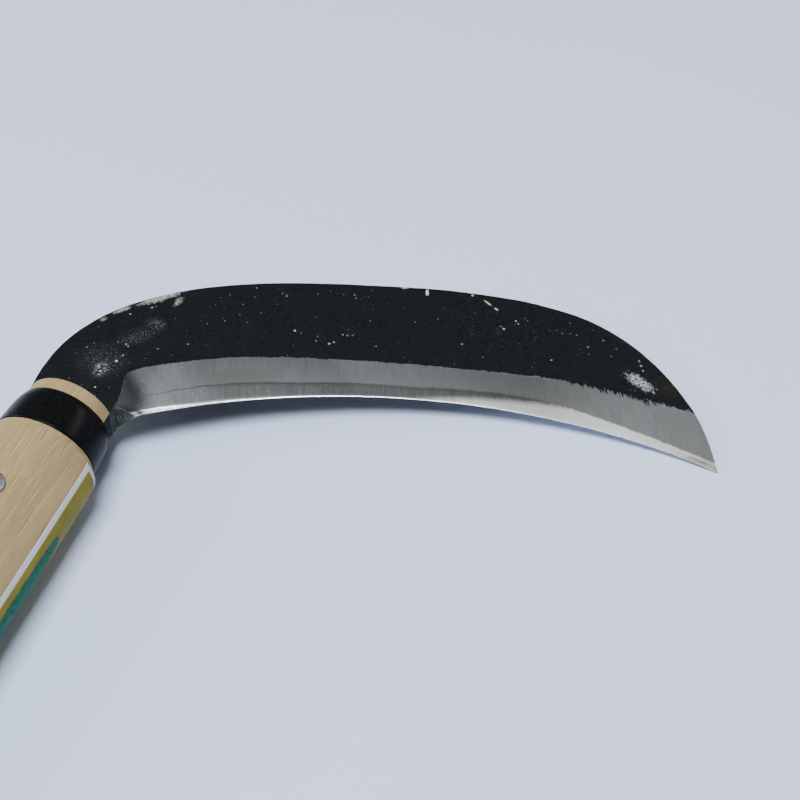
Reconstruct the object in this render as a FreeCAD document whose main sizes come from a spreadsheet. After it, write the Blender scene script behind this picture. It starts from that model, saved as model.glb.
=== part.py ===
# Hand sickle: thick forged blade of laminated iron and steel, fixed in an oak handle.
#
# All sub-parts are drawn in the tool's own frame and then share one placement:
#   local origin  centre of the handle's front end face, on the blade's mid-plane
#   local +X      from the handle towards the blade point, in the blade's plane
#   local -Y      along the handle towards the butt
#   local +Z      normal of the blade's upper face
# The shared placement lays the tool on a table (z = 0) with its point, the
# belly of the handle and the butt touching, origin at the bottom centre of the
# bounding box.  Millimetres throughout.

import FreeCAD, Part
import math
import os

V = FreeCAD.Vector
os.makedirs("parts", exist_ok=True)
doc = FreeCAD.newDocument("hand_sickle")

# ------------------------------------------------------------------ dimensions
sheet = doc.addObject("Spreadsheet::Sheet", "dims")
_row = [1]


def dim(alias, value):
    """One driving number: name in column A, value in column B."""
    n = _row[0]
    sheet.set("A%d" % n, alias)
    sheet.set("B%d" % n, repr(value))
    sheet.setAlias("B%d" % n, alias)
    _row[0] = n + 1


SIZES = [
    # blade blank
    ("neck_thick", 9.0), ("neck_back_x", -12.4), ("neck_front_x", 12.0),
    ("chin_x", 12.0), ("chin_y", 2.4), ("heel_x", 16.6), ("heel_y", 4.7),
    ("tip_x", 175.6), ("tip_y", 46.0), ("strip_wide", 1.2),
    # distal taper of the blade: thickness at stations along X
    ("taper_xa", 14.0), ("taper_xb", 60.0), ("taper_xc", 120.0), ("taper_xd", 178.0),
    ("thick_b", 5.5), ("thick_c", 4.0), ("thick_d", 2.4),
    # steel core thickness at the same kind of stations
    ("core_xa", 10.0), ("core_xb", 30.0), ("core_xc", 56.0), ("core_xd", 90.0),
    ("core_xe", 126.0), ("core_xf", 178.0),
    ("core_ta", 4.2), ("core_tb", 3.6), ("core_tc", 2.2), ("core_td", 1.7),
    ("core_te", 1.5), ("core_tf", 0.7), ("core_depth", 9.0),
    # tang, a wedge in width and thickness
    ("tang_long", 82.0), ("tang_end_half", 5.5), ("tang_end_thick", 4.4),
    # handle
    ("handle_long", 375.0), ("nose_rad", 12.86), ("nose_long", 16.1),
    ("slot_long", 14.0),
    # ferrule
    ("ferrule_top", 4.1),
    # rivets
    ("rivet_shank_rad", 2.3), ("rivet_head_rad", 3.75), ("rivet_head_high", 0.6),
    ("rivet_ya", -38.6), ("rivet_yb", -66.0), ("rivet_half", 13.9),
    # label
    ("label_top", 18.6), ("label_long", 92.0), ("label_thick", 0.2),
    ("label_from_deg", 22.0), ("label_to_deg", -70.0),
]
for k, v in SIZES:
    dim(k, v)

# Oval sections: distance from the front face, half width (in the blade plane)
# and half height (across it).  Each run of sections is evenly spaced.
SHOULDER = [(16.1, 14.75, 13.7), (17.6, 15.95, 13.78), (19.1, 16.7, 13.83), (20.6, 17.0, 13.86)]
GRIP = [(20.6, 17.0, 13.86), (56.04, 17.3, 14.0), (91.48, 17.2, 13.95), (126.92, 16.9, 13.75),
        (162.36, 16.5, 13.5), (197.8, 16.15, 13.3), (233.24, 16.0, 13.2), (268.68, 16.1, 13.25),
        (304.12, 16.6, 13.5), (339.56, 17.6, 14.05), (375.0, 18.6, 14.6)]
FERRULE = [(4.1, 13.25, 13.2), (6.08, 13.95, 13.65), (8.06, 14.3, 13.8), (10.04, 14.5, 13.85),
           (12.02, 14.65, 13.86), (14.0, 14.75, 13.85), (15.98, 14.8, 13.8)]
for run, table in (("shoulder", SHOULDER), ("grip", GRIP), ("ferr", FERRULE)):
    for i, (s_, a_, b_) in enumerate(table):
        t_ = "abcdefghijk"[i]
        dim("%s_s_%s" % (run, t_), s_)
        dim("%s_w_%s" % (run, t_), a_)
        dim("%s_v_%s" % (run, t_), b_)
dim("butt_round", 2.5)

# Plan curves of the blade, drawn on its mid-plane (X, Y pairs).
SPINE = [(-12.4, 0.0), (-13.2, 8.7), (-12.8, 17.1), (-10.7, 25.3), (-7.3, 32.8),
         (-2.6, 39.7), (3.1, 45.8), (9.6, 51.4), (16.4, 56.3), (23.6, 60.8),
         (31.0, 64.9), (38.6, 68.6), (46.3, 72.0), (54.2, 75.2), (62.1, 78.2),
         (70.1, 81.0), (78.2, 83.6), (86.3, 85.9), (94.5, 87.8), (102.9, 89.4),
         (111.3, 90.4), (119.8, 90.6), (128.1, 89.9), (136.1, 87.7), (143.7, 84.3),
         (150.8, 79.7), (157.3, 74.2), (163.1, 67.9), (168.2, 61.0), (172.3, 53.6),
         (175.6, 46.0)]
EDGE = [(16.6, 4.7), (24.2, 10.1), (32.0, 15.2), (40.0, 20.0), (48.2, 24.4),
        (56.7, 28.5), (65.3, 32.2), (74.1, 35.6), (83.0, 38.6), (92.0, 41.2),
        (101.1, 43.5), (110.3, 45.3), (119.6, 46.7), (128.9, 47.7), (138.3, 48.3),
        (147.6, 48.4), (157.0, 48.1), (166.3, 47.3), (175.6, 46.0)]
# Inner limit of the ground bevel on the flat, matched by position with EDGE2.
GRIND = [(12.0, 2.4), (11.6, 6.2), (10.4, 10.6), (9.7, 14.6), (12.2, 18.1),
         (18.9, 23.1), (26.9, 28.3), (35.3, 32.9), (43.9, 37.0), (52.8, 40.7),
         (61.8, 44.0), (71.0, 47.0), (80.3, 49.9), (89.6, 52.6), (98.8, 55.2),
         (108.0, 57.8), (117.3, 60.1), (126.7, 61.8), (136.3, 62.7),
         (145.9, 63.3), (155.4, 63.8), (165.4, 65.0)]
for nm, pts in (("spine", SPINE), ("edge", EDGE), ("grind", GRIND)):
    for i, (x_, y_) in enumerate(pts):
        t_ = "abcdefghijklmnopqrstuvwxyz"[i // 26] + "abcdefghijklmnopqrstuvwxyz"[i % 26]
        dim("%s_x_%s" % (nm, t_), x_)
        dim("%s_y_%s" % (nm, t_), y_)
doc.recompute()


def g(alias):
    return float(sheet.get(alias))


def curve_points(nm, n):
    out = []
    for i in range(n):
        t_ = "abcdefghijklmnopqrstuvwxyz"[i // 26] + "abcdefghijklmnopqrstuvwxyz"[i % 26]
        out.append((g("%s_x_%s" % (nm, t_)), g("%s_y_%s" % (nm, t_))))
    return out


def lerp_table(x, xs, ys):
    if x <= xs[0]:
        return ys[0]
    for i in range(len(xs) - 1):
        if x <= xs[i + 1]:
            f = (x - xs[i]) / (xs[i + 1] - xs[i])
            return ys[i] + f * (ys[i + 1] - ys[i])
    return ys[-1]


def blade_thickness(x):
    return lerp_table(x, [g("taper_xa"), g("taper_xb"), g("taper_xc"), g("taper_xd")],
                      [g("neck_thick"), g("thick_b"), g("thick_c"), g("thick_d")])


def core_thickness(x):
    return lerp_table(x, [g("core_xa"), g("core_xb"), g("core_xc"), g("core_xd"), g("core_xe"), g("core_xf")],
                      [g("core_ta"), g("core_tb"), g("core_tc"), g("core_td"), g("core_te"), g("core_tf")])


def plane(body, role):
    for o in body.Origin.OriginFeatures:
        if o.Role == role:
            return o
    raise RuntimeError(role)


def new_sketch(body, name, role, offset=None):
    sk = body.newObject("Sketcher::SketchObject", name)
    sk.AttachmentSupport = [(plane(body, role), "")]
    sk.MapMode = "FlatFace"
    if offset is not None:
        sk.AttachmentOffset = offset
    return sk


def ellipse_sketch(body, name, alias_s, alias_w, alias_v, extra=0.0):
    """Oval section across the handle: half width along X, half height along Z,
    standing at the distance alias_s behind the front face."""
    import Sketcher
    sk = new_sketch(body, name, "XZ_Plane")
    a, b = g(alias_w) + extra, g(alias_v) + extra
    if abs(a - b) < 0.02:
        b = a - 0.02
    e = sk.addGeometry(Part.Ellipse(V(0, 0, 0), a, b), False)
    sk.exposeInternalGeometry(e)
    # the exposed major and minor diameters follow as the next two lines
    sk.addConstraint(Sketcher.Constraint("Coincident", e, 3, -1, 1))
    sk.addConstraint(Sketcher.Constraint("Horizontal", e + 1))
    c1 = sk.addConstraint(Sketcher.Constraint("Distance", e + 1, 2 * a))
    c2 = sk.addConstraint(Sketcher.Constraint("Distance", e + 2, 2 * b))
    ex = (" + %g" % extra) if extra else ""
    if abs(a - b) > 0.021:
        sk.setExpression("Constraints[%d]" % c1, "2 * (dims.%s%s)" % (alias_w, ex))
        sk.setExpression("Constraints[%d]" % c2, "2 * (dims.%s%s)" % (alias_v, ex))
    # the plane's own normal points to -Y, the way the handle runs
    sk.setExpression(".AttachmentOffset.Base.z", "dims.%s" % alias_s)
    return sk


# --------------------------------------------------------------- blade forging
# Blank: plan outline padded to the neck's thickness, thinned towards the point,
# with the tang wedged in width and thickness.
blank = doc.addObject("PartDesign::Body", "blade_blank")
outline = new_sketch(blank, "blade_outline", "XY_Plane")
sp = curve_points("spine", len(SPINE))
ed = curve_points("edge", len(EDGE))
sc = Part.BSplineCurve()
sc.interpolate([V(x, y, 0) for x, y in sp])
ec = Part.BSplineCurve()
ec.interpolate([V(x, y, 0) for x, y in ed])
p0, p1 = V(sp[0][0], sp[0][1], 0), V(g("neck_front_x"), 0, 0)
chin, heel = V(g("chin_x"), g("chin_y"), 0), V(ed[0][0], ed[0][1], 0)
tl, th_ = g("tang_long"), g("tang_end_half")
ta, tb = V(-th_, -tl, 0), V(th_, -tl, 0)
# The forging leaves a strip of metal past the line of the cutting edge; the two
# bevels grind it away and meet on that line.
strip = g("strip_wide")
chin_dir = (heel - chin)
chin_dir.normalize()
chin_end = heel + chin_dir * 6.0
past_tip = V(ed[-1][0], ed[-1][1], 0) + (V(sp[-1][0], sp[-1][1], 0) - V(sp[-2][0], sp[-2][1], 0)).normalize() * (strip * 1.6)
offs = [chin_end]
for i in range(2, len(ed) - 1):
    u = ec.parameter(V(ed[i][0], ed[i][1], 0))
    t3 = ec.tangent(u)[0]
    offs.append(V(ed[i][0], ed[i][1], 0) + V(t3.y, -t3.x, 0) * strip)
offs.append(past_tip)
oc2 = Part.BSplineCurve()
oc2.interpolate(offs)
tip3 = V(sp[-1][0], sp[-1][1], 0)
outline.addGeometry([sc, Part.LineSegment(tip3, past_tip), oc2,
                     Part.LineSegment(chin_end, chin), Part.LineSegment(chin, p1),
                     Part.LineSegment(p1, tb), Part.LineSegment(tb, ta), Part.LineSegment(ta, p0)], False)
pad = blank.newObject("PartDesign::Pad", "forging")
pad.Profile = outline
pad.Midplane = True
pad.setExpression("Length", "dims.neck_thick")
doc.recompute()


def polygon(sk, pts):
    n = len(pts)
    sk.addGeometry([Part.LineSegment(V(pts[i][0], pts[i][1], 0), V(pts[(i + 1) % n][0], pts[(i + 1) % n][1], 0))
                    for i in range(n)], False)


# distal taper: wedges above and below the blade, drawn in the X-Z plane
def taper_wedge(side):
    sk = new_sketch(blank, "taper_%s" % side, "XZ_Plane")
    sgn = 1 if side == "upper" else -1
    xs = [g("taper_xa"), g("taper_xb"), g("taper_xc"), g("taper_xd")]
    pts = [(x, sgn * blade_thickness(x) / 2) for x in xs] + [(xs[-1], sgn * 8.0), (xs[0], sgn * 8.0)]
    polygon(sk, pts)
    v0 = blank.Shape.Volume
    pk = blank.newObject("PartDesign::Pocket", "thin_%s" % side)
    pk.Profile = sk
    pk.Type = "ThroughAll"
    pk.Midplane = True
    doc.recompute()
    if not blank.Shape.Volume < v0 - 100:
        raise RuntimeError("taper pocket cut nothing")


taper_wedge("upper")
taper_wedge("lower")


# tang wedge: thinned towards its end, drawn in the Y-Z plane
def tang_wedge(side):
    sk = new_sketch(blank, "tang_%s" % side, "YZ_Plane")
    sgn = 1 if side == "upper" else -1
    pts = [(0.0, sgn * g("neck_thick") / 2), (-tl, sgn * g("tang_end_thick") / 2),
           (-tl - 1, sgn * g("tang_end_thick") / 2), (-tl - 1, sgn * 8.0), (0.0, sgn * 8.0)]
    polygon(sk, pts)
    v0 = blank.Shape.Volume
    pk = blank.newObject("PartDesign::Pocket", "tang_thin_%s" % side)
    pk.Profile = sk
    pk.Type = "ThroughAll"
    pk.Midplane = True
    doc.recompute()
    if not blank.Shape.Volume < v0 - 50:
        raise RuntimeError("tang pocket cut nothing")


tang_wedge("upper")
tang_wedge("lower")

# rivet holes through the tang
holes = new_sketch(blank, "tang_holes", "XY_Plane")
for al in ("rivet_ya", "rivet_yb"):
    holes.addGeometry(Part.Circle(V(0, g(al), 0), V(0, 0, 1), g("rivet_shank_rad")), False)
v0 = blank.Shape.Volume
hp = blank.newObject("PartDesign::Pocket", "tang_drill")
hp.Profile = holes
hp.Type = "ThroughAll"
hp.Midplane = True
doc.recompute()
if not blank.Shape.Volume < v0 - 20:
    raise RuntimeError("tang holes cut nothing")

# Bevel grinding, one volume on each side.  Its face is ruled between the grind
# limit on the flat and the cutting edge on the mid-plane, and runs a little past
# both so that it leaves no skin.
gr = curve_points("grind", len(GRIND))


def along(curve, f):
    a, b = curve.FirstParameter, curve.LastParameter
    return curve.value(a + f * (b - a))


n_g = len(gr)
match = []
for i in range(n_g):
    # the first rulings fan out round the chin, then they run across the blade
    if i < 5:
        f = [0.0, 0.010, 0.022, 0.036, 0.055][i]
    else:
        f = 0.055 + (1.0 - 0.055) * ((i - 4) / float(n_g - 5)) ** 1.0
    match.append(along(ec, f))
out_dir = V(chin_dir.y, -chin_dir.x, 0)


def grind_volume(over_in, over_out, run_off):
    """Everything above one bevel.  over_in and over_out are how far the ruled
    face runs past the flat and past the edge, as fractions of the bevel's
    width; run_off is how far it runs past the chin.  None of the three changes
    what is left of the blade."""
    inner, outer = [], []
    for (x, y), e in zip(gr, match):
        b = V(x, y, blade_thickness(x) / 2)
        e3 = V(e.x, e.y, 0)
        r = b - e3
        inner.append(b + r * over_in)
        outer.append(e3 - r * over_out)
    inner.insert(0, inner[0] + out_dir * run_off)
    outer.insert(0, outer[0] + out_dir * run_off * 0.6)
    inner.append(inner[-1] + (inner[-1] - inner[-2]) * 0.9)
    outer.append(outer[-1] + (outer[-1] - outer[-2]) * 0.9)
    par = [0.0]
    for p, q in zip(outer, outer[1:]):
        par.append(par[-1] + max((q - p).Length, 1.0))
    ic, oc = Part.BSplineCurve(), Part.BSplineCurve()
    ic.interpolate(Points=inner, Parameters=par)
    oc.interpolate(Points=outer, Parameters=par)
    ruled = Part.makeRuledSurface(ic.toShape(), oc.toShape())
    body = ruled.extrude(V(0, 0, 16))
    if body.Volume < 0:
        body.reverse()
    return body


def whole(shape):
    return (not shape.isNull()) and shape.isValid() and len(shape.Solids) == 1


# The overrun is picked so that both grinds leave one sound solid.
upper_grind = None
for run_off in (4.0, 3.4, 5.0, 2.8, 4.5, 6.0):
    for over_in in (0.25, 0.20, 0.30, 0.16):
        for over_out in (0.35, 0.30, 0.42):
            trial = grind_volume(over_in, over_out, run_off)
            one = blank.Shape.cut(trial)
            if not whole(one):
                continue
            two = one.cut(trial.mirror(V(0, 0, 0), V(0, 0, 1)))
            if whole(two) and 0.80 * blank.Shape.Volume < two.Volume < 0.95 * blank.Shape.Volume:
                upper_grind = trial
                print("grind overrun", run_off, over_in, over_out, "leaves", round(two.Volume, 1))
                break
        if upper_grind:
            break
    if upper_grind:
        break
if upper_grind is None:
    raise RuntimeError("no overrun gives a sound bevel")
grind_u = doc.addObject("Part::Feature", "grind_upper")
grind_u.Shape = upper_grind
grind_l = doc.addObject("Part::Mirroring", "grind_lower")
grind_l.Source = grind_u
grind_l.Base = V(0, 0, 0)
grind_l.Normal = V(0, 0, 1)
ground_one = doc.addObject("Part::Cut", "ground_upper_side")
ground_one.Base = blank
ground_one.Tool = grind_u
ground = doc.addObject("Part::Cut", "ground_both_sides")
ground.Base = ground_one
ground.Tool = grind_l
doc.recompute()

# Steel core: a plate of varying thickness on the mid-plane, reaching core_depth
# inside the bevel and out past the edge.
xs = [g("core_xa") - 6, g("core_xb"), g("core_xc"), g("core_xd"), g("core_xe"), g("core_xf") + 6]
up = [V(x, -20, core_thickness(x) / 2) for x in xs]
lo = [V(x, -20, -core_thickness(x) / 2) for x in reversed(xs)]
core_side = Part.Face(Part.makePolygon(up + lo + [up[0]])).extrude(V(0, 130, 0))
inside, outside = [], []
for i in range(25):
    f = i / 24.0
    e = along(ec, f)
    tdir = ec.tangent(ec.FirstParameter + f * (ec.LastParameter - ec.FirstParameter))[0]
    nrm = V(-tdir.y, tdir.x, 0)
    inside.append(e + nrm * g("core_depth"))
    outside.append(e - nrm * 4.0)
first = inside[0] - (inside[1] - inside[0]) * 0.55
last = inside[-1] + (inside[-1] - inside[-2]) * 1.2
inside = [first] + inside + [last]
plan = Part.Wire([Part.makePolygon(inside).Edges[i] for i in range(len(inside) - 1)] +
                 Part.makePolygon([inside[-1], outside[-1] + V(9, 0, 0), outside[12] + V(0, -14, 0), outside[0] + V(-9, -6, 0), inside[0]]).Edges)
core_plan = Part.Face(plan).extrude(V(0, 0, 12))
core_plan.translate(V(0, 0, -6))
core = doc.addObject("Part::Feature", "core_volume")
core.Shape = core_side.common(core_plan)
edge_steel = doc.addObject("Part::Common", "edge_steel")
edge_steel.Base = ground
edge_steel.Tool = core
blade = doc.addObject("Part::Cut", "blade")
blade.Base = ground
blade.Tool = core
doc.recompute()

# ---------------------------------------------------------------------- handle
handle = doc.addObject("PartDesign::Body", "handle")
nose_sk = new_sketch(handle, "nose_section", "XZ_Plane")
import Sketcher
c = nose_sk.addGeometry(Part.Circle(V(0, 0, 0), V(0, 0, 1), g("nose_rad")), False)
nose_sk.addConstraint(Sketcher.Constraint("Coincident", c, 3, -1, 1))
k = nose_sk.addConstraint(Sketcher.Constraint("Radius", c, g("nose_rad")))
nose_sk.setExpression("Constraints[%d]" % k, "dims.nose_rad")
nose = handle.newObject("PartDesign::Pad", "nose")
nose.Profile = nose_sk
nose.setExpression("Length", "dims.nose_long")
doc.recompute()
if nose.Shape.BoundBox.YMin > -1:
    nose.Reversed = True
    doc.recompute()



def oval_run(body, run, count, prefix, extra=0.0):
    """One smooth loft through a run of evenly spaced oval sections."""
    sks = [ellipse_sketch(body, "%s_%s_%s" % (prefix, run, "abcdefghijk"[i]), "%s_s_%s" % (run, "abcdefghijk"[i]),
                          "%s_w_%s" % (run, "abcdefghijk"[i]), "%s_v_%s" % (run, "abcdefghijk"[i]), extra)
           for i in range(count)]
    doc.recompute()
    lf = body.newObject("PartDesign::AdditiveLoft", "%s_%s_loft" % (prefix, run))
    lf.Profile = sks[0]
    lf.Sections = sks[1:]
    lf.Ruled = False
    lf.Closed = False
    doc.recompute()
    return lf


oval_run(handle, "shoulder", len(SHOULDER), "handle")
loft = oval_run(handle, "grip", len(GRIP), "handle")
# rounded rim of the butt
rim = []
for n_, e_ in enumerate(loft.Shape.Edges):
    bb = e_.BoundBox
    if bb.YMax < -g("handle_long") + 0.01:
        rim.append("Edge%d" % (n_ + 1))
butt = handle.newObject("PartDesign::Fillet", "butt_rounding")
butt.Base = (loft, rim)
butt.setExpression("Radius", "dims.butt_round")
doc.recompute()

# saw cut that takes the neck, open at both sides of the nose
saw = new_sketch(handle, "saw_cut_side", "YZ_Plane")
sl = g("slot_long")


def tang_t(s):
    return g("neck_thick") + (g("tang_end_thick") - g("neck_thick")) * s / g("tang_long")


polygon(saw, [(1.0, tang_t(0) / 2), (0.0, tang_t(0) / 2), (-sl, tang_t(sl) / 2), (-sl, -tang_t(sl) / 2),
              (0.0, -tang_t(0) / 2), (1.0, -tang_t(0) / 2)])
v0 = handle.Shape.Volume
saw_cut = handle.newObject("PartDesign::Pocket", "saw_cut")
saw_cut.Profile = saw
saw_cut.Type = "ThroughAll"
saw_cut.Midplane = True
doc.recompute()
if not handle.Shape.Volume < v0 - 1000:
    raise RuntimeError("saw cut removed nothing")

# tapered mortise for the rest of the tang
def tang_x(s):
    f = s / g("tang_long")
    return (g("neck_back_x") + f * (-g("tang_end_half") - g("neck_back_x")),
            g("neck_front_x") + f * (g("tang_end_half") - g("neck_front_x")))


def mortise_sketch(name, s):
    sk = new_sketch(handle, name, "XZ_Plane", FreeCAD.Placement(V(0, 0, s), FreeCAD.Rotation()))
    x0, x1 = tang_x(s)
    t2 = tang_t(s) / 2
    polygon(sk, [(x0, -t2), (x1, -t2), (x1, t2), (x0, t2)])
    return sk


ms = mortise_sketch("mortise_mouth", 0.0)
me = mortise_sketch("mortise_end", g("tang_long"))
v0 = handle.Shape.Volume
mortise = handle.newObject("PartDesign::SubtractiveLoft", "mortise")
mortise.Profile = ms
mortise.Sections = [me]
mortise.Ruled = True
doc.recompute()
if not handle.Shape.Volume < v0 - 3000:
    raise RuntimeError("mortise removed nothing")

# rivet holes across the handle
hh = new_sketch(handle, "handle_holes", "XY_Plane")
for al in ("rivet_ya", "rivet_yb"):
    hh.addGeometry(Part.Circle(V(0, g(al), 0), V(0, 0, 1), g("rivet_shank_rad")), False)
v0 = handle.Shape.Volume
hd = handle.newObject("PartDesign::Pocket", "handle_drill")
hd.Profile = hh
hd.Type = "ThroughAll"
hd.Midplane = True
doc.recompute()
if not handle.Shape.Volume < v0 - 300:
    raise RuntimeError("handle holes cut nothing")

# --------------------------------------------------------------------- ferrule
ferrule = doc.addObject("PartDesign::Body", "ferrule")
oval_run(ferrule, "ferr", len(FERRULE), "ferrule")
bore_sk = new_sketch(ferrule, "bore_section", "XZ_Plane")
c = bore_sk.addGeometry(Part.Circle(V(0, 0, 0), V(0, 0, 1), g("nose_rad")), False)
bore_sk.addConstraint(Sketcher.Constraint("Coincident", c, 3, -1, 1))
k = bore_sk.addConstraint(Sketcher.Constraint("Radius", c, g("nose_rad")))
bore_sk.setExpression("Constraints[%d]" % k, "dims.nose_rad")
v0 = ferrule.Shape.Volume
bore = ferrule.newObject("PartDesign::Pocket", "ferrule_bore")
bore.Profile = bore_sk
bore.Type = "ThroughAll"
bore.Midplane = True
doc.recompute()
if not ferrule.Shape.Volume < v0 - 3000:
    raise RuntimeError("ferrule bore cut nothing")

# ---------------------------------------------------------------------- rivets
# Round-headed on both faces of the handle; the profile is turned about Z.
riv = doc.addObject("PartDesign::Body", "rivet")
rs = new_sketch(riv, "rivet_profile", "XZ_Plane")
R, H, Q, hf = g("rivet_head_rad"), g("rivet_head_high"), g("rivet_shank_rad"), g("rivet_half")
flat, crown = 0.45, 0.8
sag = H + flat
rad = ((R - crown) ** 2 + sag ** 2) / (2 * sag)
half_turn = math.asin((R - crown) / rad) / 2
dome = (crown + rad * math.sin(half_turn), hf + H - rad * (1 - math.cos(half_turn)))
rs.addGeometry([
    Part.LineSegment(V(0, -hf - H, 0), V(0, hf + H, 0)),
    Part.LineSegment(V(0, hf + H, 0), V(crown, hf + H, 0)),
    Part.Arc(V(crown, hf + H, 0), V(dome[0], dome[1], 0), V(R, hf - flat, 0)),
    Part.LineSegment(V(R, hf - flat, 0), V(R, hf - 2 * flat, 0)),
    Part.LineSegment(V(R, hf - 2 * flat, 0), V(Q, hf - 2 * flat, 0)),
    Part.LineSegment(V(Q, hf - 2 * flat, 0), V(Q, -hf + 2 * flat, 0)),
    Part.LineSegment(V(Q, -hf + 2 * flat, 0), V(R, -hf + 2 * flat, 0)),
    Part.LineSegment(V(R, -hf + 2 * flat, 0), V(R, -hf + flat, 0)),
    Part.Arc(V(R, -hf + flat, 0), V(dome[0], -dome[1], 0), V(crown, -hf - H, 0)),
    Part.LineSegment(V(crown, -hf - H, 0), V(0, -hf - H, 0))], False)
rev = riv.newObject("PartDesign::Revolution", "rivet_turned")
rev.Profile = rs
rev.ReferenceAxis = (rs, ["V_Axis"])
rev.Angle = 360.0
doc.recompute()
ra = doc.addObject("Part::Feature", "rivet_front_copy")
ra.Shape = riv.Shape.translated(V(0, g("rivet_ya"), 0))
rb = doc.addObject("Part::Feature", "rivet_rear_copy")
rb.Shape = riv.Shape.translated(V(0, g("rivet_yb"), 0))
rivets = doc.addObject("Part::Compound", "tang_rivets")
rivets.Links = [ra, rb]
# the heads are driven down into shallow seats in the wood
seat_tool = doc.addObject("Part::Compound", "rivet_seats")
seat_tool.Links = [ra, rb]
seats = doc.addObject("Part::Cut", "handle_seated")
seats.Base = handle
seats.Tool = seat_tool
doc.recompute()

# ----------------------------------------------------------------------- label
# Paper skin laid on the handle: the handle's sections grown by the paper's
# thickness, less the handle, kept inside a window round the belly.
skin = doc.addObject("PartDesign::Body", "label_skin")
oval_run(skin, "shoulder", len(SHOULDER), "skin", g("label_thick"))
oval_run(skin, "grip", len(GRIP), "skin", g("label_thick"))
a0, a1 = math.radians(g("label_from_deg")), math.radians(g("label_to_deg"))
ytop, ybot = -g("label_top"), -g("label_top") - g("label_long")
sector = []
for j in range(13):
    th = a0 + (a1 - a0) * j / 12.0
    sector.append(V(12.3 * math.cos(th), ytop, 12.3 * math.sin(th)))
sector += [V(30 * math.cos(a1), ytop, 30 * math.sin(a1)), V(60, ytop, -30), V(60, ytop, 20),
           V(30 * math.cos(a0), ytop, 30 * math.sin(a0))]
win = Part.Face(Part.makePolygon(sector + [sector[0]])).extrude(V(0, ybot - ytop, 0))
window = doc.addObject("Part::Feature", "label_window")
window.Shape = win
paper = doc.addObject("Part::Cut", "label_paper")
paper.Base = skin
paper.Tool = handle
label = doc.addObject("Part::Common", "label")
label.Base = paper
label.Tool = window
doc.recompute()

# ------------------------------------------------- resting attitude and origin
# The tool touches the table with its point, with the fattest part of the grip
# behind the ferrule and with the swell of the butt.


def support(points, d):
    return min(p.dot(d) for p in points)


lowest = []
for sh in (blade.Shape, edge_steel.Shape, handle.Shape, rivets.Shape):
    lowest += [p for p in sh.tessellate(0.05)[0] if p.z < 1.0]
tip_pts = [p for p in lowest if p.x > 120]
front_pts = [p for p in lowest if p.x < 30 and -140 < p.y < 0]
butt_pts = [p for p in lowest if p.y < -280]
roll, pitch = 0.0, 0.0
for _ in range(40):
    up_dir = V(math.sin(roll) * math.cos(pitch), -math.sin(pitch), math.cos(roll) * math.cos(pitch))
    hf_, hb_, ht_ = support(front_pts, up_dir), support(butt_pts, up_dir), support(tip_pts, up_dir)
    pitch -= (hb_ - hf_) / 310.0 * 0.8
    roll += (hf_ - ht_) / 175.0 * 0.8
print("rest gaps", round(hf_ - hb_, 3), round(hf_ - ht_, 3))
rot = FreeCAD.Rotation(up_dir, V(0, 0, 1))
lay = FreeCAD.Placement(V(0, 0, 0), rot)

PARTS = [("blade", blade), ("edge_steel", edge_steel), ("handle", seats), ("ferrule", ferrule),
         ("tang_rivets", rivets), ("label", label)]
box = None
for nm, ob in PARTS:
    print("check", nm, ob.State, "solids", len(ob.Shape.Solids), "vol", round(ob.Shape.Volume, 1))
    sh = ob.Shape.copy()
    sh.Placement = lay.multiply(sh.Placement)
    b = sh.optimalBoundingBox(False)
    if box is None:
        box = b
    else:
        box.add(b)
shift = V(-(box.XMin + box.XMax) / 2, -(box.YMin + box.YMax) / 2, -box.ZMin)
rest = FreeCAD.Placement(shift, FreeCAD.Rotation()).multiply(lay)
print("rest roll %.3f pitch %.3f shift %.3f %.3f %.3f" % (math.degrees(roll), math.degrees(pitch), shift.x, shift.y, shift.z))
print("rest matrix", [round(v, 6) for v in rest.toMatrix().A])
print("box size", round(box.XLength, 2), round(box.YLength, 2), round(box.ZLength, 2))

for nm, ob in PARTS:
    if ob is seats:
        handle.Label = "handle_wood_unseated"
    ob.Label = nm
    ob.Placement = rest.multiply(ob.Placement)
doc.recompute()

for ob in doc.Objects:
    st = ob.State
    if "Invalid" in st or "Error" in st:
        raise RuntimeError("%s is %s" % (ob.Name, st))
for nm, ob in PARTS:
    sh = ob.Shape
    if sh.isNull() or not sh.isValid():
        raise RuntimeError("%s has no valid shape" % nm)
    print(nm, "solids", len(sh.Solids), "volume %.1f" % sh.Volume, "z %.2f..%.2f" % (sh.optimalBoundingBox(False).ZMin, sh.optimalBoundingBox(False).ZMax))
    sh.exportStep("parts/%s.step" % nm)
print("written", len(PARTS))
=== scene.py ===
import math

import bmesh
import bpy
import numpy as np
from mathutils import Matrix, Vector


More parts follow.
